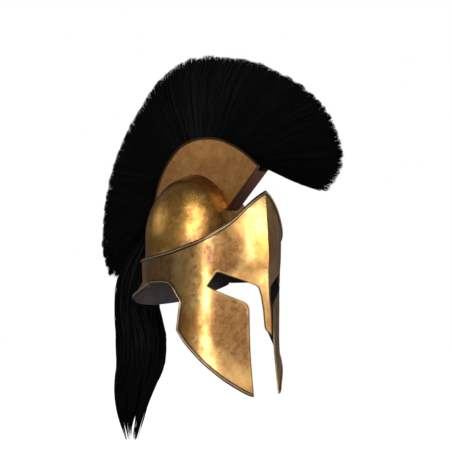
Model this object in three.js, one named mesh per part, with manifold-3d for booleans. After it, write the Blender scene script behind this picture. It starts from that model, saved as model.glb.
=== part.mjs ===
// Corinthian helmet with a raised crest box, a fan of black bristles and a hanging tail.
// Millimetres, +Z up, the wearer looks along -Y and the wearer's right is -X.
// The origin is the inside of the crown, at the top of the wearer's head.
import * as THREE from 'three';
import { mergeVertices } from 'three/addons/utils/BufferGeometryUtils.js';
import Module from 'manifold-3d';

const wasm = await Module();
wasm.setup();
const { Manifold } = wasm;

// ---------------------------------------------------------------- driving dimensions

const WALL = 2; // raised brass sheet
const GAP = 0.3; // clearance between neighbouring pieces
const BAND_GAP = 1.1; // clearance under a trim band, which bridges the facets of the sheet
const BAND_PROUD = 2.7; // height of a trim band above the sheet
const BAND_WIDTH = 5;
const CUT_REACH = 16; // how far a cutter stands off the sheet on each side
const DEG = Math.PI / 180;

// Plan sections of the face guard: the two front planes meet in a keel and turn at the temples.
// keelReach and backReach are measured from the origin, flank is how far the temple lies behind
// the keel, and shoulder sets how square the temple is.
const GUARD_SECTIONS = [
  { z: -30, keelReach: 136.5, halfWidth: 91, sweep: 7, flank: 70.7, shoulder: 32, backReach: 77 },
  { z: -63, keelReach: 138.2, halfWidth: 91, sweep: 11, flank: 71.2, shoulder: 32, backReach: 77 },
  { z: -103, keelReach: 140.1, halfWidth: 91, sweep: 18.5, flank: 72.2, shoulder: 31, backReach: 77 },
  { z: -142, keelReach: 141.3, halfWidth: 91, sweep: 25.8, flank: 73.2, shoulder: 30, backReach: 77 },
  { z: -181, keelReach: 141.5, halfWidth: 91, sweep: 30.7, flank: 72.7, shoulder: 25.6, backReach: 76 },
  { z: -220, keelReach: 142.4, halfWidth: 91, sweep: 34.1, flank: 71.6, shoulder: 18, backReach: 75 },
  { z: -259, keelReach: 144.7, halfWidth: 90.5, sweep: 37.1, flank: 70.4, shoulder: 12, backReach: 74 },
  { z: -318, keelReach: 151.9, halfWidth: 90, sweep: 39.2, flank: 69.5, shoulder: 8, backReach: 73 },
];
const KEEL_HANDLE = 47; // length of the flat plane beside the keel
const BACK_HANDLES = { side: 0.8, rear: 0.68 };

// The neck guard flares out at the back, below the nape.
const FLARE = { reach: 24, top: -156, rim: -191, startAngle: 96, fullAngle: 142, rise: 1.1 };

// Outlines of the face guard. Angles are degrees from the keel, round the origin's vertical axis.
const BROW_EDGE = [
  { angle: 0, z: -33 },
  { angle: 6, z: -41 },
  { angle: 14, z: -55.5 },
  { angle: 22.5, z: -73.5 },
  { angle: 29, z: -84 },
  { angle: 34.5, z: -91.3 },
  { angle: 40.5, z: -98 },
  { angle: 46.5, z: -103.5 },
  { angle: 67.5, z: -115 },
  { angle: 110, z: -122.2 },
  { angle: 145, z: -126 },
  { angle: 180, z: -128 },
];
// Upper edge of the face opening: nasal tip, nasal side, eye brow, outer eye corner.
const OPENING_TOP = [
  { angle: 0, z: -234 },
  { angle: 3.1, z: -225.5 },
  { angle: 3.6, z: -199.5 },
  { angle: 4.1, z: -180 },
  { angle: 5.6, z: -167 },
  { angle: 10, z: -162.4 },
  { angle: 14.7, z: -158.3 },
  { angle: 24, z: -151.7 },
  { angle: 32.2, z: -145.5 },
  { angle: 38.8, z: -165 },
];
// Lower edge of the face opening: front edge of the cheek, rounded corner, lower eye edge.
const OPENING_BOTTOM = [
  { angle: 11.2, z: -330 },
  { angle: 11.3, z: -281 },
  { angle: 11.4, z: -240 },
  { angle: 11.5, z: -198 },
  { angle: 12.1, z: -192 },
  { angle: 14.2, z: -187.4 },
  { angle: 23.9, z: -179.1 },
  { angle: 34, z: -170.5 },
  { angle: 38.8, z: -165 },
];
const CHEEK_EDGE = [
  { angle: 11, z: -318 },
  { angle: 15, z: -314.3 },
  { angle: 24.8, z: -300.8 },
  { angle: 30.4, z: -292.3 },
  { angle: 41.5, z: -272.1 },
  { angle: 48.6, z: -257 },
  { angle: 54.7, z: -243.6 },
  { angle: 61.8, z: -224.5 },
];
const CHEEK_REAR = [
  { z: -224.5, angle: 61.8 },
  { z: -205, angle: 60.1 },
  { z: -190.5, angle: 58.7 },
  { z: -184, angle: 58.9 },
  { z: -176, angle: 62 },
  { z: -167, angle: 65.2 },
  { z: -161, angle: 68.9 },
  { z: -159.5, angle: 78 },
];
const NOTCH_TOP = -159.5;
const NECK_END = [
  { z: -159.5, angle: 101 },
  { z: -191, angle: 101.5 },
];
const NECK_RIM = [
  { angle: 101.5, z: -161 },
  { angle: 106, z: -164.3 },
  { angle: 118, z: -170.5 },
  { angle: 133, z: -178 },
  { angle: 155, z: -187 },
  { angle: 180, z: -191 },
];

// Skull cap: a half egg over straight walls that spread forward behind the brow plate.
const CAP = { halfWidth: 82.6, frontReach: 80.5, backReach: 72, height: 96.5, top: WALL, wallGap: 0.9 };
const CAP_EDGE = [
  { angle: 0, z: -112 },
  { angle: 40, z: -117 },
  { angle: 75, z: -128 },
  { angle: 180, z: -140 },
];

// Crest box: two side plates on the crown, open along the top and at both ends.
const BOX = { halfWidth: 10.6, plate: 1.4, rimWidth: 3.2, rimProud: 0.8, rimSteps: 20 };
const BRISTLE_SEAT = 8; // depth of the bristle backing in the box
const BLOCK_RECESS = 2; // block set back from the open front end

// Crest from the front end to the rear end: where a bristle leaves the box, and where it ends.
const CREST_STATIONS = [
  { rootY: -137, rootZ: 1, tipY: -241, tipZ: -43 },
  { rootY: -130, rootZ: 7, tipY: -268, tipZ: -12 },
  { rootY: -118, rootZ: 17, tipY: -262, tipZ: 33 },
  { rootY: -104, rootZ: 27, tipY: -236, tipZ: 77 },
  { rootY: -83, rootZ: 39, tipY: -188, tipZ: 117 },
  { rootY: -52, rootZ: 51, tipY: -115, tipZ: 155 },
  { rootY: -12, rootZ: 55, tipY: -12, tipZ: 178 },
  { rootY: 22, rootZ: 48, tipY: 70, tipZ: 161 },
  { rootY: 47, rootZ: 31, tipY: 136, tipZ: 106 },
  { rootY: 64, rootZ: 12, tipY: 181, tipZ: 51 },
  { rootY: 75, rootZ: -7, tipY: 209, tipZ: -9 },
  { rootY: 81, rootZ: -24, tipY: 221, tipZ: -64 },
  { rootY: 83.5, rootZ: -35, tipY: 222, tipZ: -110 },
  { rootY: 84, rootZ: -45, tipY: 203, tipZ: -147 },
];
const BOX_HEEL = { y: 78, z: -84 }; // lowest rear point of the crest box
const BRUSH = { locks: 29, rootHalf: 8.6, bellyHalf: 17, tipHalf: 7, bellyAt: 0.62, uneven: 5 };

// Tail: centre line, half depth across it in the side view, half width, and sideways drift.
const TAIL_STATIONS = [
  { y: 86, z: -64, depth: 8, width: 7.8, drift: 0 },
  { y: 101, z: -85, depth: 11, width: 17, drift: 0 },
  { y: 118, z: -110, depth: 17, width: 28, drift: 0 },
  { y: 133, z: -136, depth: 26, width: 35, drift: 0 },
  { y: 141, z: -162, depth: 33, width: 39, drift: 0 },
  { y: 143, z: -192, depth: 34, width: 40, drift: 0 },
  { y: 139, z: -220, depth: 38, width: 41, drift: 0 },
  { y: 133, z: -250, depth: 41, width: 42, drift: 0 },
  { y: 135, z: -280, depth: 37, width: 41, drift: 0 },
  { y: 145, z: -308, depth: 31, width: 36, drift: 0 },
  { y: 153, z: -338, depth: 27, width: 31, drift: 0 },
  { y: 157, z: -372, depth: 19, width: 23, drift: 0 },
  { y: 158, z: -405, depth: 8, width: 11, drift: 0 },
];
const TAIL = { locks: 8, sides: 6, rings: 11, ringShift: 0.5, lockSize: 0.5, coreSize: 0.8, shortest: 0.86 };

// Facets: angles of the columns on one side, and heights of the rows of the face guard.
const COLUMNS = [
  0, 4, 8, 12, 17, 22, 27, 32, 36, 40, 44, 48, 53, 59, 66, 75, 85, 95, 105, 115, 126, 138, 152, 166, 180,
];
const GUARD_ROWS = [
  -328, -306, -282, -258, -236, -216, -200, -191, -184, -177, -170, -163, -156, -146, -130, -112, -92, -70,
  -48, -24,
];
const CAP_STEPS = { dome: 8, wall: 2 };

// ---------------------------------------------------------------- curves through tables

/** Smooth value of column `key` at `x` of column `by`, through the rows of a table. */
function tableAt(rows, by, key, x) {
  const rising = rows[rows.length - 1][by] > rows[0][by];
  const list = rising ? rows : [...rows].reverse();
  const last = list.length - 1;
  if (x <= list[0][by]) return list[0][key];
  if (x >= list[last][by]) return list[last][key];
  let i = 0;
  while (list[i + 1][by] < x) i += 1;
  const slope = (j) => {
    const a = list[Math.max(j - 1, 0)];
    const b = list[Math.min(j + 1, last)];
    return (b[key] - a[key]) / (b[by] - a[by]);
  };
  const span = list[i + 1][by] - list[i][by];
  const t = (x - list[i][by]) / span;
  const h = [2 * t ** 3 - 3 * t ** 2 + 1, t ** 3 - 2 * t ** 2 + t, -2 * t ** 3 + 3 * t ** 2, t ** 3 - t ** 2];
  return h[0] * list[i][key] + h[1] * span * slope(i) + h[2] * list[i + 1][key] + h[3] * span * slope(i + 1);
}

/** Straight-line value of column `key` at `x` of column `by`. */
function polylineAt(rows, by, key, x) {
  for (let i = 0; i + 1 < rows.length; i += 1) {
    const a = rows[i];
    const b = rows[i + 1];
    const t = (x - a[by]) / (b[by] - a[by]);
    if (t >= 0 && t <= 1) return a[key] + t * (b[key] - a[key]);
  }
  return Math.abs(x - rows[0][by]) < Math.abs(x - rows[rows.length - 1][by])
    ? rows[0][key]
    : rows[rows.length - 1][key];
}

/** Values from `a` to `b` in `steps` equal steps. */
function spread(a, b, steps) {
  return Array.from({ length: steps + 1 }, (_, i) => a + ((b - a) * i) / steps);
}

/** Sorted angles of a table's rows and the facet columns that lie between its ends. */
function columnsThrough(rows) {
  const first = rows[0].angle;
  const last = rows[rows.length - 1].angle;
  const between = COLUMNS.filter((angle) => angle > first && angle < last);
  const all = [...rows.map((row) => row.angle), ...between].sort((a, b) => a - b);
  return all.filter((angle, i) => i === 0 || angle - all[i - 1] > 0.05);
}

// ---------------------------------------------------------------- plan sections

/** Point of a cubic curve with control points p0..p3 at t. */
function cubic(p0, p1, p2, p3, t) {
  const s = 1 - t;
  const w = [s ** 3, 3 * s * s * t, 3 * s * t * t, t ** 3];
  return [0, 1].map((k) => w[0] * p0[k] + w[1] * p1[k] + w[2] * p2[k] + w[3] * p3[k]);
}

/** Radius of a closed plan section at an angle in degrees from its front. */
function planRadius(section, angleDeg) {
  const angle = fromFront(angleDeg) * DEG;
  const keel = [0, -section.keelReach];
  const templeY = -section.keelReach + section.flank;
  const temple = [section.halfWidth, templeY];
  const back = [0, section.backReach];
  const sweep = section.sweep * DEG;
  const front = [
    keel,
    [KEEL_HANDLE * Math.cos(sweep), -section.keelReach + KEEL_HANDLE * Math.sin(sweep)],
    [section.halfWidth, templeY - section.shoulder],
    temple,
  ];
  const rear = [
    temple,
    [section.halfWidth, templeY + BACK_HANDLES.side * (section.backReach - templeY)],
    [BACK_HANDLES.rear * section.halfWidth, section.backReach],
    back,
  ];
  const templeAngle = Math.atan2(temple[0], -temple[1]);
  const curve = angle < templeAngle ? front : rear;
  let low = 0;
  let high = 1;
  for (let i = 0; i < 36; i += 1) {
    const mid = (low + high) / 2;
    const [x, y] = cubic(...curve, mid);
    if (Math.atan2(x, -y) < angle) low = mid;
    else high = mid;
  }
  return Math.hypot(...cubic(...curve, low));
}

/** Angle from the front, 0 to 180 degrees, of any turn round the axis. */
function fromFront(angle) {
  const turn = Math.abs(angle) % 360;
  return turn > 180 ? 360 - turn : turn;
}

/** Outer radius of the face guard at an angle and a height. */
function guardRadius(angle, z) {
  const section = Object.fromEntries(
    ['keelReach', 'halfWidth', 'sweep', 'flank', 'shoulder', 'backReach'].map((key) => [
      key,
      tableAt(GUARD_SECTIONS, 'z', key, z),
    ]),
  );
  const around = THREE.MathUtils.smoothstep(fromFront(angle), FLARE.startAngle, FLARE.fullAngle);
  const down = THREE.MathUtils.clamp((FLARE.top - z) / (FLARE.top - FLARE.rim), 0, 1.3);
  return planRadius(section, angle) + FLARE.reach * around * down ** FLARE.rise;
}

/** Inner radius of the face guard, a wall thickness inside the outer one. */
function guardInnerRadius(angle, z) {
  const step = 1;
  const slope = (guardRadius(angle, z + step) - guardRadius(angle, z - step)) / (2 * step);
  return guardRadius(angle, z) - WALL * Math.hypot(1, slope);
}

/** Point at an angle from the front, a radius and a height. */
function polar(angle, radius, z) {
  const x = Math.abs(angle % 180) < 1e-9 ? 0 : radius * Math.sin(angle * DEG);
  return [x, -radius * Math.cos(angle * DEG), z];
}

// ---------------------------------------------------------------- solids

/** Manifold solid of vertices and triangles. */
function solidOf(vertices, triangles) {
  const mesh = new wasm.Mesh({
    numProp: 3,
    vertProperties: Float32Array.from(vertices.flat()),
    triVerts: Uint32Array.from(triangles.flat()),
  });
  return new Manifold(mesh);
}

/** Solid of a closed surface, turned so that its faces point out. */
function outward(vertices, triangles) {
  const solid = solidOf(vertices, triangles);
  if (solid.volume() > 0) return solid;
  return solidOf(
    vertices,
    triangles.map(([a, b, c]) => [a, c, b]),
  );
}

/** The same solid on the other side of the helmet. */
function mirrored(solid) {
  return solid.mirror([1, 0, 0]);
}

/** Solid between two point grids of equal size, outer and inner, closed round their borders. */
function thickPatch(outer, inner) {
  const rows = outer.length;
  const cols = outer[0].length;
  const half = rows * cols;
  const vertices = [...outer.flat(), ...inner.flat()];
  const id = (layer, i, j) => layer * half + i * cols + j;
  const triangles = [];
  const quad = (a, b, c, d) => triangles.push([a, b, c], [a, c, d]);
  for (let i = 0; i + 1 < rows; i += 1) {
    for (let j = 0; j + 1 < cols; j += 1) {
      quad(id(0, i, j), id(0, i, j + 1), id(0, i + 1, j + 1), id(0, i + 1, j));
      quad(id(1, i, j), id(1, i + 1, j), id(1, i + 1, j + 1), id(1, i, j + 1));
    }
  }
  for (let j = 0; j + 1 < cols; j += 1) {
    quad(id(0, 0, j), id(1, 0, j), id(1, 0, j + 1), id(0, 0, j + 1));
    quad(id(0, rows - 1, j), id(0, rows - 1, j + 1), id(1, rows - 1, j + 1), id(1, rows - 1, j));
  }
  for (let i = 0; i + 1 < rows; i += 1) {
    quad(id(0, i, 0), id(0, i + 1, 0), id(1, i + 1, 0), id(1, i, 0));
    quad(id(0, i, cols - 1), id(1, i, cols - 1), id(1, i + 1, cols - 1), id(0, i + 1, cols - 1));
  }
  return outward(vertices, triangles);
}

/** Cutter through the sheet of the face guard over a grid of [angle, z]. */
function radialCutter(grid) {
  const at = (lift) =>
    grid.map((row) => row.map(([angle, z]) => polar(angle, guardRadius(angle, z) + lift, z)));
  return thickPatch(at(CUT_REACH), at(-CUT_REACH));
}

/**
 * Solid through rings of equal size. Its ends meet where it is a `closed` loop. Otherwise they
 * close on the points `start` and `end`, or on the middles of the end rings.
 */
function loft(rings, { closed = false, start = null, end = null } = {}) {
  const sides = rings[0].length;
  const spans = rings.length - 1;
  const used = closed ? rings.slice(0, -1) : rings;
  const middle = (ring) => [0, 1, 2].map((k) => ring.reduce((sum, p) => sum + p[k], 0) / ring.length);
  const vertices = used.flat();
  const triangles = [];
  for (let i = 0; i < spans; i += 1) {
    const next = ((i + 1) % used.length) * sides;
    for (let j = 0; j < sides; j += 1) {
      const k = (j + 1) % sides;
      const a = i * sides + j;
      const b = i * sides + k;
      triangles.push([a, b, next + k], [a, next + k, next + j]);
    }
  }
  if (!closed) {
    const lastRing = spans * sides;
    const first = vertices.push(start ?? middle(rings[0])) - 1;
    const last = vertices.push(end ?? middle(rings[spans])) - 1;
    for (let j = 0; j < sides; j += 1) {
      const k = (j + 1) % sides;
      triangles.push([first, k, j], [last, lastRing + j, lastRing + k]);
    }
  }
  return outward(vertices, triangles);
}

/** Solid of a side-view outline, {y, z} points, from x0 to x1. */
function sidePrism(outline, x0, x1) {
  const shape = new THREE.Shape(outline.map((p) => new THREE.Vector2(p.y, p.z)));
  const geometry = new THREE.ExtrudeGeometry(shape, { depth: x1 - x0, bevelEnabled: false, steps: 1 });
  const basis = new THREE.Matrix4().makeBasis(
    new THREE.Vector3(0, 1, 0),
    new THREE.Vector3(0, 0, 1),
    new THREE.Vector3(1, 0, 0),
  );
  geometry.applyMatrix4(basis);
  geometry.translate(x0, 0, 0);
  geometry.deleteAttribute('normal');
  geometry.deleteAttribute('uv');
  const merged = mergeVertices(geometry, 1e-4);
  const mesh = new wasm.Mesh({
    numProp: 3,
    vertProperties: Float32Array.from(merged.attributes.position.array),
    triVerts: Uint32Array.from(merged.index.array),
  });
  return new Manifold(mesh);
}

/** Union of a list of solids. */
function joined(solids) {
  return Manifold.union(solids);
}

// ---------------------------------------------------------------- face guard

/** Column angles round the whole helmet, without the last one that closes the ring. */
function ringAngles() {
  const left = COLUMNS.slice(1, -1).map((angle) => -angle).reverse();
  return [-180, ...left, ...COLUMNS.slice(0, -1)];
}

/** Solid block inside a radius function over the guard rows, `longer` at each end. */
function guardBlock(radiusAt, longer) {
  const last = GUARD_ROWS.length - 1;
  const ends = { 0: -longer, [last]: longer };
  const rings = GUARD_ROWS.map((z, i) =>
    ringAngles().map((angle) => polar(angle, radiusAt(angle, z), z + (ends[i] ?? 0))),
  );
  return loft(rings);
}

/** Cutter for everything above the brow edge, on one side. */
function aboveBrow() {
  const angles = columnsThrough(BROW_EDGE);
  const edge = angles.map((angle) => [angle, tableAt(BROW_EDGE, 'angle', 'z', angle)]);
  return radialCutter([edge, angles.map((angle) => [angle, 40])]);
}

/** Cutter for the nasal slot and the eye, on one side. */
function faceOpening() {
  const angles = columnsThrough(OPENING_TOP);
  const top = angles.map((angle) => [angle, polylineAt(OPENING_TOP, 'angle', 'z', angle)]);
  const slotEnd = OPENING_BOTTOM[0].angle;
  const inner = top.filter(([angle]) => angle < slotEnd);
  inner.push([slotEnd, polylineAt(OPENING_TOP, 'angle', 'z', slotEnd)]);
  const slot = radialCutter([inner.map(([angle]) => [angle, -400]), inner]);
  const eyeAngles = [...new Set([...angles, ...columnsThrough(OPENING_BOTTOM)])]
    .filter((angle) => angle >= slotEnd)
    .sort((a, b) => a - b)
    .filter((angle, i, list) => i === 0 || angle - list[i - 1] > 0.05);
  const corner = OPENING_TOP[OPENING_TOP.length - 1];
  const eye = eyeAngles.slice(0, -1);
  const lower = eye.map((angle) => [angle, polylineAt(OPENING_BOTTOM, 'angle', 'z', angle)]);
  const upper = eye.map((angle) => [angle, polylineAt(OPENING_TOP, 'angle', 'z', angle)]);
  lower.push([corner.angle, corner.z - 0.2]);
  upper.push([corner.angle, corner.z + 0.2]);
  return joined([slot, radialCutter([lower, upper])]);
}

/** Cutter for everything below the cheek, the side notch and the neck guard, on one side. */
function belowEdges() {
  const floor = -400;
  const cheekAngles = columnsThrough(CHEEK_EDGE);
  const cheek = radialCutter([
    cheekAngles.map((angle) => [angle, floor]),
    cheekAngles.map((angle) => [angle, tableAt(CHEEK_EDGE, 'angle', 'z', angle)]),
  ]);
  const heights = [floor, ...CHEEK_REAR.map((row) => row.z)];
  const notch = radialCutter(
    heights.map((z) => {
      const from = polylineAt(CHEEK_REAR, 'z', 'angle', z);
      const to = polylineAt(NECK_END, 'z', 'angle', z);
      return spread(from, to, 6).map((angle) => [angle, z]);
    }),
  );
  const neckAngles = columnsThrough([{ angle: 100.5 }, ...NECK_RIM]);
  const neck = radialCutter([
    neckAngles.map((angle) => [angle, floor]),
    neckAngles.map((angle) => [angle, tableAt(NECK_RIM, 'angle', 'z', angle)]),
  ]);
  return joined([cheek, notch, neck]);
}

/** Raised brass sheet: brow plate, nasal, cheeks and neck guard in one piece. */
function faceGuard() {
  const sheet = guardBlock(guardRadius, 0).subtract(guardBlock(guardInnerRadius, 2));
  const cuts = [aboveBrow(), faceOpening(), belowEdges()];
  return sheet.subtract(joined([...cuts, ...cuts.map(mirrored)]));
}

// ---------------------------------------------------------------- trim bands

/** Flat band on the sheet along a path of [angle, z], widened towards the `inward` side. */
function bandAlong(path, inward, closed = false) {
  const count = path.length;
  const neighbour = (i) => (closed ? (i + count) % count : THREE.MathUtils.clamp(i, 0, count - 1));
  const sections = path.map(([angle, z], i) => {
    const a = path[neighbour(i - 1)];
    const b = path[neighbour(i + 1)];
    const scale = guardRadius(angle, z) * DEG;
    const turn = ((b[0] - a[0] + 540) % 360) - 180;
    const run = [turn * scale, b[1] - a[1]];
    const length = Math.hypot(...run);
    const normal = [(-run[1] / length) * inward, (run[0] / length) * inward];
    const inset = [angle + (normal[0] * BAND_WIDTH) / scale, z + normal[1] * BAND_WIDTH];
    const at = ([phi, height], lift) => polar(phi, guardRadius(phi, height) + lift, height);
    return [
      at([angle, z], BAND_PROUD),
      at(inset, BAND_PROUD),
      at(inset, BAND_GAP),
      at([angle, z], BAND_GAP),
    ];
  });
  return loft(closed ? [...sections, sections[0]] : sections, { closed });
}

/** Band round the whole top edge of the face guard. */
function browBand() {
  const angles = columnsThrough(BROW_EDGE).filter((angle) => angle < 180);
  const right = angles.map((angle) => [angle, tableAt(BROW_EDGE, 'angle', 'z', angle)]);
  const left = right.slice(1).map(([angle, z]) => [-angle, z]).reverse();
  const back = [-180, BROW_EDGE[BROW_EDGE.length - 1].z];
  return bandAlong([back, ...left, ...right], -1, true);
}

/** Band along one cheek's lower edge, its rear edge and the top of the side notch. */
function cheekBand() {
  const lower = columnsThrough(CHEEK_EDGE).map((angle) => [angle, tableAt(CHEEK_EDGE, 'angle', 'z', angle)]);
  const rear = CHEEK_REAR.slice(1, -2).map((row) => [row.angle, row.z]);
  const top = spread(78, NECK_END[0].angle - 2, 3).map((angle) => [angle, NOTCH_TOP]);
  return bandAlong([...lower.slice(1), ...rear, [71, NOTCH_TOP - 1.3], ...top], 1);
}

/** Band round the rim of the neck guard. */
function neckBand() {
  const angles = columnsThrough(NECK_RIM);
  const right = angles.map((angle) => [angle, tableAt(NECK_RIM, 'angle', 'z', angle)]);
  const left = right.slice(0, -1).map(([angle, z]) => [360 - angle, z]).reverse();
  return bandAlong([...right, ...left], 1);
}

// ---------------------------------------------------------------- skull cap

/** Plan radius of the cap's dome, an egg that is longer in front. */
function capPlan(angle, offset) {
  const x = Math.sin(angle * DEG) / (CAP.halfWidth + offset);
  const reach = Math.abs(angle) < 90 ? CAP.frontReach : CAP.backReach;
  const y = Math.cos(angle * DEG) / (reach + offset);
  return 1 / Math.hypot(x, y);
}

/** Rows of points from the apex down to the cap's lower edge, one surface of the wall. */
function capRows(offset) {
  const waist = CAP.top - CAP.height;
  const dome = spread(0, 90, CAP_STEPS.dome)
    .slice(1)
    .map((lean) =>
      ringAngles().map((angle) => {
        const radius = capPlan(angle, offset) * Math.sin(lean * DEG);
        return polar(angle, radius, waist + (CAP.height + offset) * Math.cos(lean * DEG));
      }),
    );
  const wall = spread(0, 1, CAP_STEPS.wall)
    .slice(1)
    .map((t) =>
      ringAngles().map((angle) => {
        const edge = tableAt(CAP_EDGE, 'angle', 'z', Math.abs(angle));
        const z = waist + (edge - waist) * t;
        const skirt = guardInnerRadius(angle, z) - CAP.wallGap + offset;
        const radius = THREE.MathUtils.lerp(capPlan(angle, offset), skirt, THREE.MathUtils.smoothstep(t, 0, 1));
        return polar(angle, radius, z);
      }),
    );
  return [...dome, ...wall];
}

/** Hollow cap of raised brass, open below. */
function skullCap() {
  const rings = [...capRows(0), ...capRows(-WALL).reverse()];
  return loft(rings, { start: [0, 0, CAP.top], end: [0, 0, CAP.top - WALL] });
}

/** Block with the cap's outer form, grown by `offset`, to cut what sits on the crown. */
function capForm(offset) {
  const dome = capRows(offset).slice(0, CAP_STEPS.dome);
  const foot = dome[dome.length - 1].map(([x, y, z]) => [x, y, z - 40]);
  return loft([...dome, foot], { start: [0, 0, CAP.top + offset] });
}

// ---------------------------------------------------------------- crest

/** Smooth side-view curve through two columns of the crest table, as {y, z} points. */
function crestCurve(keyY, keyZ, steps) {
  const curve = new THREE.SplineCurve(CREST_STATIONS.map((s) => new THREE.Vector2(s[keyY], s[keyZ])));
  return spread(0, 1, steps).map((t) => {
    const p = curve.getPoint(t);
    return { y: p.x, z: p.y };
  });
}

/** Rim of the crest box moved inwards by `depth`, with the heel at its rear end. */
function boxRim(depth) {
  const rim = [...crestCurve('rootY', 'rootZ', BOX.rimSteps), { y: 83, z: -66 }, BOX_HEEL];
  return rim.map((p, i) => {
    const a = rim[Math.max(i - 1, 0)];
    const b = rim[Math.min(i + 1, rim.length - 1)];
    const run = Math.hypot(b.y - a.y, b.z - a.z);
    return { y: p.y + ((b.z - a.z) / run) * depth, z: p.z - ((b.y - a.y) / run) * depth };
  });
}

/** Side-view outline of the crest box, its rim moved in by `depth` and its front by `recess`. */
function boxOutline(depth, recess) {
  const rim = boxRim(depth);
  const frontFoot = { y: -72 + recess, z: -59 };
  const inside = [{ y: 36, z: -84 }, { y: -36, z: -70 }];
  const corner = { y: rim[0].y + recess, z: rim[0].z };
  return [corner, ...rim.slice(1), ...inside, frontFoot];
}

/** Crest box: side plates and floor in one soldered piece, with a raised edge on each plate. */
function crestBox() {
  const outline = boxOutline(0, 0);
  const inner = BOX.halfWidth - BOX.plate;
  const plates = sidePrism(outline, -BOX.halfWidth, BOX.halfWidth);
  const wide = [{ y: -200, z: -120 }, { y: 160, z: -120 }, { y: 160, z: 120 }, { y: -200, z: 120 }];
  const channel = sidePrism(wide, -inner, inner).subtract(capForm(GAP + BOX.plate));
  const outerEdge = BOX.halfWidth + BOX.rimProud;
  const edge = sidePrism(outline, -outerEdge, outerEdge).subtract(
    sidePrism(boxOutline(BOX.rimWidth, BOX.rimWidth), -outerEdge - 1, outerEdge + 1),
  );
  return joined([plates, edge]).subtract(joined([channel, capForm(GAP)]));
}

/** Wooden block that fills the crest box under the bristles. */
function crestBlock() {
  const half = BOX.halfWidth - BOX.plate - GAP;
  return sidePrism(boxOutline(BRISTLE_SEAT, BLOCK_RECESS), -half, half).subtract(
    capForm(GAP + BOX.plate + GAP),
  );
}

/** One lock of bristles between two stretches of the root and tip curves. */
function bristleLock(root, tip, length, sway) {
  const stations = [
    { at: -0.03, half: BRUSH.rootHalf, spreadBy: 0.75 },
    { at: 0.1, half: BRUSH.rootHalf, spreadBy: 0.75 },
    { at: BRUSH.bellyAt, half: BRUSH.bellyHalf, spreadBy: 0.85 },
    { at: length, half: BRUSH.tipHalf, spreadBy: 0.35 },
  ];
  const rings = stations.map(({ at, half, spreadBy }) => {
    const along = (k) => ({
      y: root[k].y + (tip[k].y - root[k].y) * at,
      z: root[k].z + (tip[k].z - root[k].z) * at,
    });
    const [a, b] = [along(0), along(1)];
    const mid = { y: (a.y + b.y) / 2, z: (a.z + b.z) / 2 };
    const side = (p, k) => [mid.y + (p.y - mid.y) * 2 * spreadBy * k, mid.z + (p.z - mid.z) * 2 * spreadBy * k];
    const [ay, az] = side(a, 1);
    const [by, bz] = side(b, 1);
    const shift = sway * Math.max(at, 0);
    return [
      [shift - half, ay, az],
      [shift + half, ay, az],
      [shift + half, by, bz],
      [shift - half, by, bz],
    ];
  });
  return loft(rings);
}

/** Bristle fan: locks fused to the backing strip that sits in the crest box. */
function crestBrush() {
  const roots = crestCurve('rootY', 'rootZ', BRUSH.locks);
  const tips = crestCurve('tipY', 'tipZ', BRUSH.locks);
  const locks = spread(0, BRUSH.locks - 1, BRUSH.locks - 1).map((i) => {
    const reach = 1 - (BRUSH.uneven / 150) * (0.5 + 0.5 * Math.sin(i * 2.4));
    const sway = 3 * Math.sin(i * 1.7);
    return bristleLock([roots[i], roots[i + 1]], [tips[i], tips[i + 1]], reach, sway);
  });
  const seat = boxRim(BRISTLE_SEAT - GAP).slice(1, BOX.rimSteps);
  const crown = boxRim(-3).slice(1, BOX.rimSteps).reverse();
  const backing = sidePrism([...seat, ...crown], -BRUSH.rootHalf, BRUSH.rootHalf);
  return joined([backing, ...locks]);
}

// ---------------------------------------------------------------- tail

/** Row of the tail table at a fraction of its length, and the unit normal of its centre line. */
function tailAt(t) {
  const rows = TAIL_STATIONS.map((row, i) => ({ ...row, at: i / (TAIL_STATIONS.length - 1) }));
  const row = Object.fromEntries(
    ['y', 'z', 'depth', 'width', 'drift'].map((key) => [key, tableAt(rows, 'at', key, t)]),
  );
  const ahead = Math.min(t + 0.01, 1);
  const behind = Math.max(t - 0.01, 0);
  const run = ['y', 'z'].map((key) => tableAt(rows, 'at', key, ahead) - tableAt(rows, 'at', key, behind));
  const length = Math.hypot(...run);
  return { ...row, normal: [-run[1] / length, run[0] / length] };
}

/** Tapered strand of the tail: `shiftX` and `shiftN` place it in the section, `size` scales it. */
function tailStrand(shiftX, shiftN, size, from, length) {
  const rings = spread(from, length, TAIL.rings).map((t, i, all) => {
    const row = tailAt(t);
    const point = Math.min(1, (1.02 - i / (all.length - 1)) * 4.5);
    return spread(0, TAIL.sides - 1, TAIL.sides - 1).map((k) => {
      const turn = ((k + 0.5) * 2 * Math.PI) / TAIL.sides;
      const across = row.width * (shiftX + size * point * Math.cos(turn));
      const out = row.depth * (shiftN + size * point * Math.sin(turn));
      return [row.drift + across, row.y + row.normal[0] * out, row.z + row.normal[1] * out];
    });
  });
  return loft(rings);
}

/** Tail of long hair: a core with locks round it, fused, that end at different heights. */
function tailPlume() {
  const core = tailStrand(0, 0, TAIL.coreSize, 0, 0.97);
  const locks = spread(0, TAIL.locks - 1, TAIL.locks - 1).map((k) => {
    const turn = (k * 2 * Math.PI) / TAIL.locks;
    const reach = TAIL.shortest + (1 - TAIL.shortest) * (0.5 + 0.5 * Math.sin(k * 2.1));
    return tailStrand(
      TAIL.ringShift * Math.cos(turn),
      TAIL.ringShift * Math.sin(turn),
      TAIL.lockSize,
      0.02,
      reach,
    );
  });
  return joined([core, ...locks]);
}

// ---------------------------------------------------------------- assembly

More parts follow.
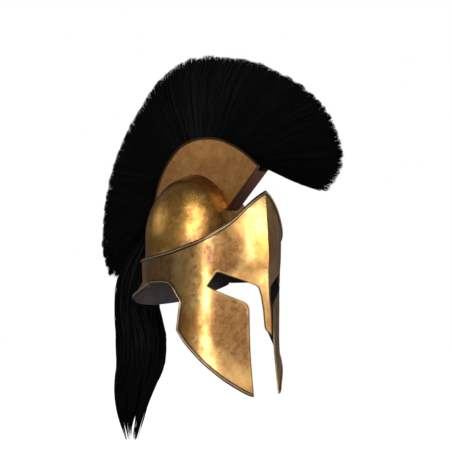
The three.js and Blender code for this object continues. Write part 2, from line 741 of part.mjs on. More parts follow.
const MATERIALS = {
  brass: { color: 0xb8893a, roughness: 0.36, metalness: 1 },
  brassEdge: { color: 0xc79a52, roughness: 0.32, metalness: 1 },
  wood: { color: 0x3a1613, roughness: 0.7, metalness: 0 },
  hair: { color: 0x0b0b0c, roughness: 0.6, metalness: 0 },
};

/** Named mesh of a solid. */
function meshOf(name, solid, material) {
  const data = solid.getMesh();
  const geometry = new THREE.BufferGeometry();
  geometry.setAttribute('position', new THREE.BufferAttribute(Float32Array.from(data.vertProperties), 3));
  geometry.setIndex(new THREE.BufferAttribute(Uint32Array.from(data.triVerts), 1));
  geometry.computeVertexNormals();
  const mesh = new THREE.Mesh(geometry, new THREE.MeshStandardMaterial(MATERIALS[material]));
  mesh.name = name;
  return mesh;
}

const helmet = new THREE.Group();
helmet.add(meshOf('skull_cap', skullCap(), 'brass'));
helmet.add(meshOf('face_guard', faceGuard(), 'brass'));
helmet.add(meshOf('brow_band', browBand(), 'brassEdge'));
const band = cheekBand();
helmet.add(meshOf('cheek_band_left', band, 'brassEdge'));
helmet.add(meshOf('cheek_band_right', mirrored(band), 'brassEdge'));
helmet.add(meshOf('neck_band', neckBand(), 'brassEdge'));
helmet.add(meshOf('crest_box', crestBox(), 'brass'));
helmet.add(meshOf('crest_block', crestBlock(), 'wood'));
helmet.add(meshOf('crest_brush', crestBrush(), 'hair'));
helmet.add(meshOf('tail_plume', tailPlume(), 'hair'));

export default helmet;
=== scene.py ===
"""Corinthian helmet: raised brass face guard and cap, crest box, bristle fan and hanging tail."""

import logging
import math
from dataclasses import dataclass
from enum import Enum

import bmesh
import bpy
import numpy as np
from mathutils import Matrix, Vector
from mathutils.geometry import delaunay_2d_cdt


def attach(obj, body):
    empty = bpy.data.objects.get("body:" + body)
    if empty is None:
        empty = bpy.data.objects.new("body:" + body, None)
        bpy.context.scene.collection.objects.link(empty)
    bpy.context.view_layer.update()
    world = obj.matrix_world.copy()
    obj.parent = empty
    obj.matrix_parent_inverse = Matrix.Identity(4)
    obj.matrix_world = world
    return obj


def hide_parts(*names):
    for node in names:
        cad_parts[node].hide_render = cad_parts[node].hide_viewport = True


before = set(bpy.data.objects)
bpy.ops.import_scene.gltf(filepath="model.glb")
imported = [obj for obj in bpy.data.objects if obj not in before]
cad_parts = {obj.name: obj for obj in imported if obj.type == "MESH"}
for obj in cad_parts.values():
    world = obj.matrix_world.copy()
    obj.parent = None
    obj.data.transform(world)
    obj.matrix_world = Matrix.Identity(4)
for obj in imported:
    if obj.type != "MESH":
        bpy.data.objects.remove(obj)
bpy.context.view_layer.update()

MM = 0.001
SKIN_MM_PER_DEGREE = 1.553  # arc length of one degree at the helmet's side
SKIN_SCALE = np.array([SKIN_MM_PER_DEGREE, 1.0])  # turns (degrees, height) into even millimetres
SHEET_BEVEL = 0.3
SHEET_CORNER = 80.0  # degrees above which an edge of the sheet is rounded
UNWORN = 30.0  # distance to the nearest edge where a piece shows no wear
Table = tuple[tuple[float, float], ...]
log = logging.getLogger("helmet")


# ---------------------------------------------------------------- curves


def through(rows: Table, x: np.ndarray) -> np.ndarray:
    """Smooth curve through the rows of a two-column table.

    Args:
        rows: Pairs of place and value, in rising or falling order.
        x: Places to read.

    Returns:
        The values at x.
    """
    xs, ys = np.array(sorted(rows), float).T
    x = np.clip(np.asarray(x, float), xs[0], xs[-1])
    i = np.clip(np.searchsorted(xs, x, side="right") - 1, 0, len(xs) - 2)
    low = np.maximum(np.arange(len(xs)) - 1, 0)
    high = np.minimum(np.arange(len(xs)) + 1, len(xs) - 1)
    slope = (ys[high] - ys[low]) / (xs[high] - xs[low])
    span = xs[i + 1] - xs[i]
    t = (x - xs[i]) / span
    start = (2 * t**3 - 3 * t**2 + 1) * ys[i] + (t**3 - 2 * t**2 + t) * span * slope[i]
    end = (3 * t**2 - 2 * t**3) * ys[i + 1] + (t**3 - t**2) * span * slope[i + 1]
    return start + end


def smooth_step(t: np.ndarray) -> np.ndarray:
    """Rise from 0 to 1 that starts and ends level, for t from 0 to 1."""
    return 3 * t**2 - 2 * t**3


def catmull(points: np.ndarray, t: np.ndarray) -> np.ndarray:
    """Points of a uniform Catmull-Rom curve at t from 0 to 1.

    Args:
        points: Control points, one a row.
        t: Places along the curve.

    Returns:
        One point a row.
    """
    last = len(points) - 1
    place = np.clip(t, 0, 1) * last
    i = np.minimum(place.astype(int), last - 1)
    w = (place - i)[:, None]
    a, b, c, d = (points[np.clip(i + k, 0, last)] for k in (-1, 0, 1, 2))
    bend = 2 * a - 5 * b + 4 * c - d
    return 0.5 * ((2 * b) + (c - a) * w + bend * w**2 + (3 * b - a - 3 * c + d) * w**3)


def resample(points: np.ndarray, step: float) -> np.ndarray:
    """Points at even distances along a polyline.

    Args:
        points: Corners of the polyline.
        step: Wanted distance between points.

    Returns:
        The new points, with both ends kept.
    """
    run = np.r_[0, np.cumsum(np.linalg.norm(np.diff(points, axis=0), axis=1))]
    at = np.linspace(0, run[-1], max(int(run[-1] / step), 1) + 1)
    return np.column_stack([np.interp(at, run, points[:, k]) for k in range(points.shape[1])])


def softened(points: np.ndarray, passes: int) -> np.ndarray:
    """Polyline with its inner corners rounded a little by repeated averaging.

    Args:
        points: Evenly spaced points.
        passes: How many times to average.

    Returns:
        The rounded points, with both ends kept.
    """
    out = points.copy()
    for _ in range(passes):
        out[1:-1] = 0.25 * out[:-2] + 0.5 * out[1:-1] + 0.25 * out[2:]
    return out


def inside(points: np.ndarray, outline: np.ndarray) -> np.ndarray:
    """Which points lie inside a closed outline.

    Args:
        points: Points in the plane.
        outline: Corners of the outline.

    Returns:
        True for each point that is inside.
    """
    x, y = points[:, :1], points[:, 1:]
    x0, y0 = outline[:, 0], outline[:, 1]
    x1, y1 = np.roll(x0, -1), np.roll(y0, -1)
    spans = (y0 > y) != (y1 > y)
    rise = np.where(y1 == y0, 1e-9, y1 - y0)
    return (spans & (x < (x1 - x0) * (y - y0) / rise + x0)).sum(axis=1) % 2 == 1


def distance_to(points: np.ndarray, line: np.ndarray) -> np.ndarray:
    """Distance from each point to the nearest of a dense row of points.

    Args:
        points: Points to measure from.
        line: Points to measure to.

    Returns:
        The distances.
    """
    batch = 2000  # points measured at a time, to spare memory
    out = np.empty(len(points))
    for i in range(0, len(points), batch):
        part = points[i : i + batch, None] - line[None]
        out[i : i + batch] = np.sqrt((part**2).sum(axis=2).min(axis=1))
    return out


# ---------------------------------------------------------------- meshes


def mesh_object(name: str, points: np.ndarray, faces: list, material: bpy.types.Material) -> bpy.types.Object:
    """New object of points in millimetres.

    Args:
        name: The piece's name.
        points: Vertices, one a row.
        faces: Vertex numbers of each face.
        material: Its material.

    Returns:
        The object, linked to the scene and smooth.
    """
    mesh = bpy.data.meshes.new(name)
    mesh.from_pydata((np.asarray(points) * MM).tolist(), [], [list(map(int, f)) for f in faces])
    mesh.materials.append(material)
    mesh.polygons.foreach_set("use_smooth", [True] * len(mesh.polygons))
    obj = bpy.data.objects.new(name, mesh)
    bpy.context.scene.collection.objects.link(obj)
    return obj


def put_attribute(obj: bpy.types.Object, name: str, values: np.ndarray) -> None:
    """Stores one number a vertex on a mesh.

    Args:
        obj: The piece.
        name: Name of the attribute.
        values: The numbers.
    """
    store = obj.data.attributes.new(name, "FLOAT", "POINT")
    store.data.foreach_set("value", np.asarray(values, np.float32))


def filled(outline: np.ndarray, step: float) -> tuple[np.ndarray, np.ndarray]:
    """Even triangles that fill a plane outline.

    Args:
        outline: Corners of the outline, close together.
        step: Distance between inner points.

    Returns:
        The points and the triangles.
    """
    row_rise, edge_room = 0.866, 0.45  # shares of the step: between rows, and free along the outline
    low, high = outline.min(axis=0), outline.max(axis=0)
    columns = np.arange(low[0] + step / 2, high[0], step)
    rows = np.arange(low[1] + step / 2, high[1], step * row_rise)
    grid = np.array([(c + (r % 2) * step / 2, row) for r, row in enumerate(rows) for c in columns])
    grid = grid[inside(grid, outline)]
    grid = grid[distance_to(grid, outline) > step * edge_room]
    points = [Vector(p) for p in np.vstack([outline, grid])]
    ring = list(range(len(outline)))
    found = delaunay_2d_cdt(points, [], [ring], 1, 1e-4)
    return np.array([tuple(p) for p in found[0]]), np.array(found[2])


def grid_faces(rows: int, columns: int, closed: bool) -> list:
    """Quads between the rows of a grid of vertices.

    Args:
        rows: Number of rows.
        columns: Vertices in a row.
        closed: True where each row is a ring.

    Returns:
        The faces.
    """
    last = columns if closed else columns - 1
    faces = []
    for i in range(rows - 1):
        for j in range(last):
            k = (j + 1) % columns
            faces.append((i * columns + j, i * columns + k, (i + 1) * columns + k, (i + 1) * columns + j))
    return faces


def swept(path: np.ndarray, normals: np.ndarray, profile: Table, closed: bool) -> tuple[np.ndarray, list]:
    """Strip of one profile along a path that lies on a surface.

    Args:
        path: Points of the path.
        normals: Surface normals at the points.
        profile: Closed profile as pairs of distance to the side and height.
        closed: True where the path is a loop.

    Returns:
        Vertices and faces.
    """
    if closed:
        tangent = np.roll(path, -1, axis=0) - np.roll(path, 1, axis=0)
    else:
        tangent = np.gradient(path, axis=0)
    tangent /= np.linalg.norm(tangent, axis=1, keepdims=True)
    side = np.cross(normals, tangent)
    side /= np.linalg.norm(side, axis=1, keepdims=True)
    shape = np.array(profile)
    points = path[:, None] + side[:, None] * shape[None, :, :1] + normals[:, None] * shape[None, :, 1:]
    count, sides = len(path), len(shape)
    faces = grid_faces(count, sides, True)
    if closed:
        back = (count - 1) * sides
        faces += [(back + j, back + (j + 1) % sides, (j + 1) % sides, j) for j in range(sides)]
    else:
        faces += [tuple(range(sides)), tuple(range((count - 1) * sides, count * sides))[::-1]]
    return points.reshape(-1, 3), faces


def outward_faces(obj: bpy.types.Object, weld: float = 0.0) -> None:
    """Turns a mesh's faces outward, after welding its seams where asked.

    Args:
        obj: The piece.
        weld: Distance in metres under which vertices are joined.
    """
    made = bmesh.new()
    made.from_mesh(obj.data)
    if weld:
        bmesh.ops.remove_doubles(made, verts=made.verts, dist=weld)
    bmesh.ops.recalc_face_normals(made, faces=made.faces)
    centre = sum((v.co for v in made.verts), Vector()) / len(made.verts)
    outward = sum(f.normal.dot(f.calc_center_median() - centre) * f.calc_area() for f in made.faces)
    if outward < 0:
        bmesh.ops.reverse_faces(made, faces=made.faces)
    made.to_mesh(obj.data)
    made.free()


def thicken(obj: bpy.types.Object, thickness: float, inner: bpy.types.Material) -> None:
    """Gives a skin its wall and rounds the edges of the sheet.

    Args:
        obj: The piece, a skin whose normals point out.
        thickness: Wall in millimetres, laid inward.
        inner: Material of the inner face.
    """
    wall = obj.modifiers.new("wall", "SOLIDIFY")
    wall.thickness = thickness * MM
    wall.offset = -1
    wall.use_even_offset = True
    wall.material_offset = 1
    obj.data.materials.append(inner)
    edge = obj.modifiers.new("edge", "BEVEL")
    edge.width = SHEET_BEVEL * MM
    edge.segments = 2
    edge.limit_method = "ANGLE"
    edge.angle_limit = math.radians(SHEET_CORNER)
    edge.harden_normals = True


def crisp_midline(obj: bpy.types.Object) -> None:
    """Keeps the keel of a skin sharp.

    Args:
        obj: The piece.
    """
    mesh = obj.data
    place = np.empty(len(mesh.vertices) * 3)
    mesh.vertices.foreach_get("co", place)
    ends = np.empty(len(mesh.edges) * 2, int)
    mesh.edges.foreach_get("vertices", ends)
    on_keel = (np.abs(place[::3]) < 1e-6) & (place[1::3] < 0)
    for edge, (a, b) in zip(mesh.edges, ends.reshape(-1, 2)):
        edge.use_edge_sharp = bool(on_keel[a] and on_keel[b])


def finish_piece(obj: bpy.types.Object, node: str) -> bpy.types.Object:
    """Ties a piece to the frame and reports it.

    Args:
        obj: The piece.
        node: CAD node that the piece stands for.

    Returns:
        The piece.
    """
    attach(obj, "root")
    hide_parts(node)
    log.info("%s: %d faces", obj.name, len(obj.data.polygons))
    return obj


# ---------------------------------------------------------------- shader tools


class Nodes:
    """Short hand for building one node tree."""

    def __init__(self, tree: bpy.types.NodeTree) -> None:
        """Keeps the tree to build in."""
        self.tree = tree

    def add(self, kind: str, settings: dict | None = None, inputs: dict | None = None) -> bpy.types.Node:
        """One node with its settings and inputs.

        Args:
            kind: Node type.
            settings: Attributes of the node.
            inputs: Values or output sockets, by input name or number.

        Returns:
            The node.
        """
        node = self.tree.nodes.new(kind)
        for key, value in (settings or {}).items():
            setattr(node, key, value)
        for key, value in (inputs or {}).items():
            if isinstance(value, bpy.types.NodeSocket):
                self.tree.links.new(value, node.inputs[key])
            else:
                node.inputs[key].default_value = value
        return node

    def math(self, operation: str, *values: object, clamp: bool = False) -> bpy.types.NodeSocket:
        """Output of a Math node.

        Args:
            operation: Its operation.
            *values: Numbers or sockets.
            clamp: True to keep the result from 0 to 1.

        Returns:
            The value socket.
        """
        settings = {"operation": operation, "use_clamp": clamp}
        return self.add("ShaderNodeMath", settings, dict(enumerate(values))).outputs[0]

    def mix(self, factor: object, a: object, b: object) -> bpy.types.NodeSocket:
        """Output of a colour Mix node.

        Args:
            factor: Share of the second colour.
            a: First colour.
            b: Second colour.

        Returns:
            The colour socket.
        """
        settings = {"data_type": "RGBA", "blend_type": "MIX", "clamp_factor": True}
        return self.add("ShaderNodeMix", settings, {0: factor, 6: a, 7: b}).outputs[2]

    def ramp(self, factor: object, low: object, high: object) -> bpy.types.NodeSocket:
        """Smooth step of a value between two limits.

        Args:
            factor: The value.
            low: Where the step starts, which may be above its end.
            high: Where the step ends.

        Returns:
            The value socket, from 0 to 1.
        """
        settings = {"interpolation_type": "SMOOTHSTEP", "clamp": True}
        inputs = {"Value": factor, "From Min": low, "From Max": high}
        return self.add("ShaderNodeMapRange", settings, inputs).outputs[0]

    def noise(self, place: object, scale: object, detail: float, roughness: float = 0.5,
              distortion: object = 0.0) -> bpy.types.NodeSocket:
        """Output of a Noise texture.

        Args:
            place: Where it is read.
            scale: Its scale.
            detail: Number of finer layers.
            roughness: Strength of the finer layers.
            distortion: How far it is bent.

        Returns:
            The value socket.
        """
        inputs = {"Vector": place, "Scale": scale, "Detail": detail, "Roughness": roughness,
                  "Distortion": distortion}
        return self.add("ShaderNodeTexNoise", None, inputs).outputs[0]

    def bump(self, strength: float, depth: float, height: object,
             under: object = None) -> bpy.types.NodeSocket:
        """Output of a Bump node.

        Args:
            strength: Its strength.
            depth: Its distance in metres.
            height: The height socket.
            under: Normal that it adds to, or None for the mesh's own.

        Returns:
            The normal socket.
        """
        inputs = {"Strength": strength, "Distance": depth, "Height": height}
        if under is not None:
            inputs["Normal"] = under
        return self.add("ShaderNodeBump", None, inputs).outputs[0]

    def stored(self, name: str) -> bpy.types.NodeSocket:
        """Number that the mesh stores under a name."""
        return self.add("ShaderNodeAttribute", {"attribute_name": name}).outputs["Fac"]

    def join(self, socket: bpy.types.NodeSocket, node: bpy.types.Node, name: str) -> None:
        """Links a socket to one input of a node."""
        self.tree.links.new(socket, node.inputs[name])


FLOAT = "NodeSocketFloat"
VECTOR = "NodeSocketVector"
Socket = tuple[str, str, float | tuple]


class Effect:
    """A shader node group that several finishes share."""

    def __init__(self, name: str, inputs: tuple[Socket, ...], outputs: tuple[str, ...]) -> None:
        """Makes the empty group.

        Args:
            name: The group's name.
            inputs: Name, socket type and default of each input.
            outputs: Name of each output, all of them numbers.
        """
        self.group = bpy.data.node_groups.new(name, "ShaderNodeTree")
        for label, kind, value in inputs:
            made = self.group.interface.new_socket(label, in_out="INPUT", socket_type=kind)
            made.default_value = value
        for label in outputs:
            self.group.interface.new_socket(label, in_out="OUTPUT", socket_type=FLOAT)
        self.nodes = Nodes(self.group)
        self.given = self.group.nodes.new("NodeGroupInput").outputs
        self.result = self.group.nodes.new("NodeGroupOutput").inputs

    def give(self, name: str, socket: bpy.types.NodeSocket) -> None:
        """Joins a socket to one of the group's outputs."""
        self.group.links.new(socket, self.result[name])

    def place(self, nodes: Nodes, **inputs: object) -> bpy.types.NodeOutputs:
        """Puts the group in a material.

        Args:
            nodes: The material's tree.
            **inputs: Values or sockets by input name, with _ for a space.

        Returns:
            The outputs of the placed group.
        """
        named = {key.replace("_", " "): value for key, value in inputs.items()}
        return nodes.add("ShaderNodeGroup", {"node_tree": self.group}, named).outputs


class Effects:
    """The shared effects: mottled patina, patches of staining and of painted shade, specks, hammer marks,
    scratches, and edge wear with a darkening near the edges.
    """

    def __init__(self) -> None:
        """Builds each group once."""
        self.mottle = self._mottle()
        self.stain_and_shade = self._stain_and_shade()
        self.specks = self._specks()
        self.hammer = self._hammer()
        self.scratches = self._scratches()
        self.wear = self._wear()

    @staticmethod
    def _place(made: Effect) -> bpy.types.NodeSocket:
        """Object coordinates inside a group."""
        return made.nodes.add("ShaderNodeTexCoord").outputs["Object"]

    def _mottle(self) -> Effect:
        """Cloudy patches in two sizes.

        Returns:
            The group, with one Mask.
        """
        finer, broad_share = 6.3, 0.72
        inputs = (("Scale", FLOAT, 18.0), ("Low", FLOAT, 0.4), ("High", FLOAT, 0.65), ("Warp", FLOAT, 0.6))
        made = Effect("Mottle", inputs, ("Mask",))
        n, g = made.nodes, made.given
        place = self._place(made)
        broad = n.noise(place, g["Scale"], 5.0, 0.62, g["Warp"])
        fine = n.noise(place, n.math("MULTIPLY", g["Scale"], finer), 4.0, 0.7)
        broad = n.math("MULTIPLY", broad, broad_share)
        both = n.math("ADD", broad, n.math("MULTIPLY", fine, 1 - broad_share))
        made.give("Mask", n.ramp(both, g["Low"], g["High"]))
        return made

    def _stain_and_shade(self) -> Effect:
        """A soft patch round one place, alike on both sides of the helmet, used for staining and for painted
        shade.

        Returns:
            The group, with one Mask.
        """
        rim, full, noise_scale = 1.15, 0.35, 34.0
        inputs = (("Centre", VECTOR, (0.0, 0.0, 0.0)), ("Size", VECTOR, (0.05, 0.05, 0.05)),
                  ("Ragged", FLOAT, 0.5))
        made = Effect("Stain And Shade", inputs, ("Mask",))
        n, g = made.nodes, made.given
        place = self._place(made)
        parts = n.add("ShaderNodeSeparateXYZ", None, {0: place}).outputs
        sides = {0: n.math("ABSOLUTE", parts[0]), 1: parts[1], 2: parts[2]}
        folded = n.add("ShaderNodeCombineXYZ", None, sides).outputs[0]
        kind = "ShaderNodeVectorMath"
        away = n.add(kind, {"operation": "SUBTRACT"}, {0: folded, 1: g["Centre"]}).outputs[0]
        share = n.add(kind, {"operation": "DIVIDE"}, {0: away, 1: g["Size"]}).outputs[0]
        reach = n.add(kind, {"operation": "LENGTH"}, {0: share}).outputs["Value"]
        noise = n.noise(place, noise_scale, 5.0)
        rough = n.math("MULTIPLY", n.math("SUBTRACT", noise, 0.5), g["Ragged"])
        made.give("Mask", n.ramp(n.math("ADD", reach, rough), rim, full))
        return made

    def _specks(self) -> Effect:
        """Small dark pits and spots that gather in clouds.

        Returns:
            The group, with one Mask.
        """
        rarest, gathering, contrast = 0.78, 0.42, 14.0
        inputs = (("Scale", FLOAT, 260.0), ("Amount", FLOAT, 0.5))
        made = Effect("Specks", inputs, ("Mask",))
        n, g = made.nodes, made.given
        place = self._place(made)
        dots = n.noise(place, g["Scale"], 2.0, 0.6)
        cloud = n.noise(place, 26.0, 3.0)
        amount = n.math("MULTIPLY", n.math("MULTIPLY", cloud, g["Amount"]), gathering)
        limit = n.math("SUBTRACT", rarest, amount)
        made.give("Mask", n.math("MULTIPLY", n.math("SUBTRACT", dots, limit), contrast, clamp=True))
        return made

    def _hammer(self) -> Effect:
        """Shallow dents of a raised sheet.

        Returns:
            The group, with one Height.
        """
        broad_scale, broad_share, dent_share = 0.35, 1.6, 0.5
        made = Effect("Hammer Marks", (("Scale", FLOAT, 45.0),), ("Height",))
        n, g = made.nodes, made.given
        place = self._place(made)
        broad = n.noise(place, n.math("MULTIPLY", g["Scale"], broad_scale), 1.0)
        dents = n.add("ShaderNodeTexVoronoi", {"feature": "SMOOTH_F1"},
                      {"Vector": place, "Scale": g["Scale"], "Smoothness": 1.0}).outputs["Distance"]
        height = n.math("ADD", n.math("MULTIPLY", broad, broad_share), n.math("MULTIPLY", dents, dent_share))
        made.give("Height", height)
        return made

    def _scratches(self) -> Effect:
        """Fine rubbing lines in two directions.

        Returns:
            The group, with one Mask.
        """
        middle = 0.24  # what the two noises give together on the average
        made = Effect("Scratches", (("Scale", FLOAT, 60.0), ("Amount", FLOAT, 0.5)), ("Mask",))
        n, g = made.nodes, made.given
        place = self._place(made)
        lines = []
        for turn, stretch in ((0.5, 14.0), (-0.9, 18.0)):
            moved = n.add("ShaderNodeMapping", None, {"Vector": place, "Rotation": (turn, 0.3, turn * 0.7),
                                                      "Scale": (1.0, 1.0, stretch)}).outputs[0]
            lines.append(n.noise(moved, g["Scale"], 3.0, 0.75))
        both = n.math("MULTIPLY", lines[0], lines[1])
        made.give("Mask", n.math("MULTIPLY", n.math("SUBTRACT", both, middle), g["Amount"]))
        return made

    def _wear(self) -> Effect:
        """Rubbed metal near an edge, and a darkening that reaches further in from it.

        Returns:
            The group, with the Rubbed mask and the mask of that darkening.
        """
        unevenness = 7.0  # millimetres by which the noise moves the edge of the wear
        inputs = (("Distance", FLOAT, 10.0), ("Reach", FLOAT, 3.0), ("Grime Reach", FLOAT, 9.0))
        made = Effect("Edge Wear", inputs, ("Rubbed", "Edge Dark"))
        n, g = made.nodes, made.given
        noise = n.noise(self._place(made), 70.0, 4.0)
        shift = n.math("MULTIPLY", n.math("SUBTRACT", noise, 0.5), unevenness)
        uneven = n.math("ADD", g["Distance"], shift)
        for mask, reach in (("Rubbed", "Reach"), ("Edge Dark", "Grime Reach")):
            made.give(mask, n.math("SUBTRACT", 1.0, n.math("DIVIDE", uneven, g[reach]), clamp=True))
        return made


# ---------------------------------------------------------------- finishes

Colour = tuple[float, float, float, float]


def shader(name: str) -> tuple[bpy.types.Material, Nodes, bpy.types.Node]:
    """Fresh material with an empty Principled shader.

    Args:
        name: The finish's name.

    Returns:
        The material, its tree and its shader.
    """
    material = bpy.data.materials.new(name)
    material.use_nodes = True
    return material, Nodes(material.node_tree), material.node_tree.nodes["Principled BSDF"]


@dataclass(frozen=True)
class StainAndShadePatch:
    """One darkened patch, used for staining and for painted shade, alike on both sides of the helmet, in
    metres.
    """

    centre: tuple[float, float, float]
    size: tuple[float, float, float]
    strength: float


@dataclass(frozen=True)
class AgedBrass:
    """Raised brass with a cloudy brown patina, rubbed bright along its edges."""

    name: str
    bright: Colour = (0.80, 0.49, 0.175, 1.0)
    warm: Colour = (0.48, 0.21, 0.040, 1.0)
    dark: Colour = (0.140, 0.058, 0.014, 1.0)
    # Near-black brown of the chased lines, also used as painted shade along the sheet's raw edges.
    chased: Colour = (0.026, 0.015, 0.008, 1.0)
    green: Colour = (0.075, 0.075, 0.035, 1.0)
    patina: float = 0.5
    stains_and_shade: tuple[StainAndShadePatch, ...] = ()
    raggedness: float = 0.9
    edge_dark: float = 0.65
    mottling: tuple[float, float] = (0.80, 0.24)
    speck_cover: float = 0.5
    rub_cover: float = 0.5
    wear_reach: float = 3.2
    edge_dark_reach: float = 11.0
    lip_shadow: float = 0.85
    roughness: tuple[float, float] = (0.26, 0.44)
    dents: float = 0.25
    dent_depth: float = 0.004
    grain: float = 0.22
    grain_depth: float = 0.0005
    lacquer: float = 0.35
    lacquer_roughness: float = 0.3

    def build(self, effects: Effects) -> bpy.types.Material:
        """Makes the material.

        Args:
            effects: The shared effects.

        Returns:
            The material.
        """
        material, n, bsdf = shader(self.name)
        fine = effects.mottle.place(n, Scale=150.0, Low=0.42, High=0.66, Warp=0.4)["Mask"]
        specks = effects.specks.place(n, Scale=310.0, Amount=0.3 + 0.35 * self.patina)["Mask"]
        edge = n.stored("edge")
        wear = effects.wear.place(n, Distance=edge, Reach=self.wear_reach, Grime_Reach=self.edge_dark_reach)
        shade = self._shade(effects, n, fine, wear["Edge Dark"])
        cloud = effects.mottle.place(n, Scale=15.0, Low=0.36, High=0.62, Warp=0.5)["Mask"]
        colour = n.mix(shade, n.mix(cloud, self.bright, self.warm), self.dark)
        colour = n.mix(n.math("MULTIPLY", specks, self.speck_cover), colour, self.green)
        colour = n.mix(n.math("MULTIPLY", wear["Rubbed"], self.rub_cover), colour, self.bright)
        # Painted shade: the raw edge and the strip just inside it turn towards the chased colour; the groove
        # mask is dark patina in the chased lines.
        lip = n.math("MULTIPLY", n.ramp(edge, 1.7, 0.6), self.lip_shadow)
        groove_patina_and_lip_shade = n.math("MAXIMUM", n.stored("groove"), lip)
        n.join(n.mix(groove_patina_and_lip_shade, colour, self.chased), bsdf, "Base Color")
        n.join(self._roughness(n, shade, fine, specks), bsdf, "Roughness")
        n.join(self._relief(effects, n, fine, specks), bsdf, "Normal")
        bsdf.inputs["Metallic"].default_value = 1.0
        bsdf.inputs["Coat Weight"].default_value = self.lacquer
        bsdf.inputs["Coat Roughness"].default_value = self.lacquer_roughness
        return material

    def _shade(self, effects: Effects, n: Nodes, fine: object, edge_dark: object) -> bpy.types.NodeSocket:
        """How dark the patina is: blotches, stained patches, patches of painted shade and a darkening near
        the edges, mottled finely.

        Args:
            effects: The shared effects.
            n: The material's tree.
            fine: Mask of the finest mottling.
            edge_dark: Mask of the darkening near the edges.

        Returns:
            The value socket, from 0 to 1.
        """
        blotch = effects.mottle.place(n, Scale=30.0, Low=0.42, High=0.72, Warp=0.7)["Mask"]
        shade = n.math("MULTIPLY", blotch, self.patina)
        # Each patch darkens the patina: some are staining, the rest painted shade, a painted cast shadow and
        # painted dark reflections.
        for patch in self.stains_and_shade:
            stain_and_shade = effects.stain_and_shade.place(n, Centre=patch.centre, Size=patch.size, Ragged=self.raggedness)
            shade = n.math("MAXIMUM", shade, n.math("MULTIPLY", stain_and_shade["Mask"], patch.strength, clamp=True))
        shade = n.math("MAXIMUM", shade, n.math("MULTIPLY", edge_dark, self.edge_dark))
        least, more = self.mottling
        return n.math("MULTIPLY", shade, n.math("ADD", n.math("MULTIPLY", fine, more), least), clamp=True)

    def _roughness(self, n: Nodes, shade: object, fine: object, specks: object) -> bpy.types.NodeSocket:
        """Roughness that rises with the patina, its mottling and its specks.

        Args:
            n: The material's tree.
            shade: How dark the patina is.
            fine: Mask of the finest mottling.
            specks: Mask of the specks.

        Returns:
            The value socket.
        """
        low, high = self.roughness
        rough = n.math("ADD", low, n.math("MULTIPLY", shade, high - low))
        rough = n.math("ADD", rough, n.math("MULTIPLY", fine, 0.10))
        return n.math("ADD", rough, n.math("MULTIPLY", specks, 0.2), clamp=True)

    def _relief(self, effects: Effects, n: Nodes, fine: object, specks: object) -> bpy.types.NodeSocket:
        """Hammer marks with scratches and pits over them.

        Args:
            effects: The shared effects.
            n: The material's tree.
            fine: Mask of the finest mottling.
            specks: Mask of the specks.

        Returns:
            The normal socket.
        """
        lines = effects.scratches.place(n, Scale=55.0, Amount=1.0)["Mask"]
        height = effects.hammer.place(n, Scale=46.0)["Height"]
        pits = n.math("ADD", specks, n.math("MULTIPLY", fine, 0.5))
        grain = n.math("SUBTRACT", n.math("MULTIPLY", lines, 0.6), pits)
        return n.bump(self.grain, self.grain_depth, grain, n.bump(self.dents, self.dent_depth, height))


@dataclass(frozen=True)
class DullInside:
    """Unpolished mauve-grey inner face of the sheet, with painted shade: near black away from the flared neck
    guard, deep inside the helmet.
    """

    name: str
    light: Colour = (0.070, 0.052, 0.051, 1.0)
    dark: Colour = (0.032, 0.022, 0.021, 1.0)
    # Near black painted shade for the inside away from the flare.
    deep: Colour = (0.005, 0.004, 0.0035, 1.0)
    flare: StainAndShadePatch = StainAndShadePatch((0.055, 0.07, -0.19), (0.10, 0.10, 0.045), 1.0)
    raggedness: float = 0.3
    speck_cover: float = 0.7
    metal_share: float = 0.3
    roughness: tuple[float, float] = (0.5, 0.65)

    def build(self, effects: Effects) -> bpy.types.Material:
        """Makes the material.

        Args:
            effects: The shared effects.

        Returns:
            The material.
        """
        material, n, bsdf = shader(self.name)
        cloud = effects.mottle.place(n, Scale=22.0, Low=0.35, High=0.65, Warp=0.8)["Mask"]
        specks = effects.specks.place(n, Scale=240.0, Amount=0.9)["Mask"]
        flare = effects.stain_and_shade.place(n, Centre=self.flare.centre, Size=self.flare.size, Ragged=self.raggedness)
        colour = n.mix(cloud, self.light, self.dark)
        colour = n.mix(n.math("MULTIPLY", specks, self.speck_cover), colour, self.dark)
        # Painted shade: outside the flare patch the inside turns near black.
        n.join(n.mix(flare["Mask"], self.deep, colour), bsdf, "Base Color")
        low, high = self.roughness
        n.join(n.math("ADD", low, n.math("MULTIPLY", cloud, high - low)), bsdf, "Roughness")
        height = effects.hammer.place(n, Scale=40.0)["Height"]
        n.join(n.bump(0.3, 0.003, height), bsdf, "Normal")
        bsdf.inputs["Metallic"].default_value = self.metal_share
        return material


@dataclass(frozen=True)
class BlackHair:
    """Black dyed hair with a little variation from strand to strand."""

    name: str
    deep: Colour = (0.0009, 0.0009, 0.001, 1.0)
    pale: Colour = (0.004, 0.0037, 0.0037, 1.0)
    roughness: float = 0.55
    specular: float = 0.035

    def build(self) -> bpy.types.Material:
        """Makes the material.

        Returns:
            The material.
        """
        material, n, bsdf = shader(self.name)
        n.join(n.mix(n.stored("shade"), self.deep, self.pale), bsdf, "Base Color")
        bsdf.inputs["Roughness"].default_value = self.roughness
        bsdf.inputs["Specular IOR Level"].default_value = self.specular
        return material


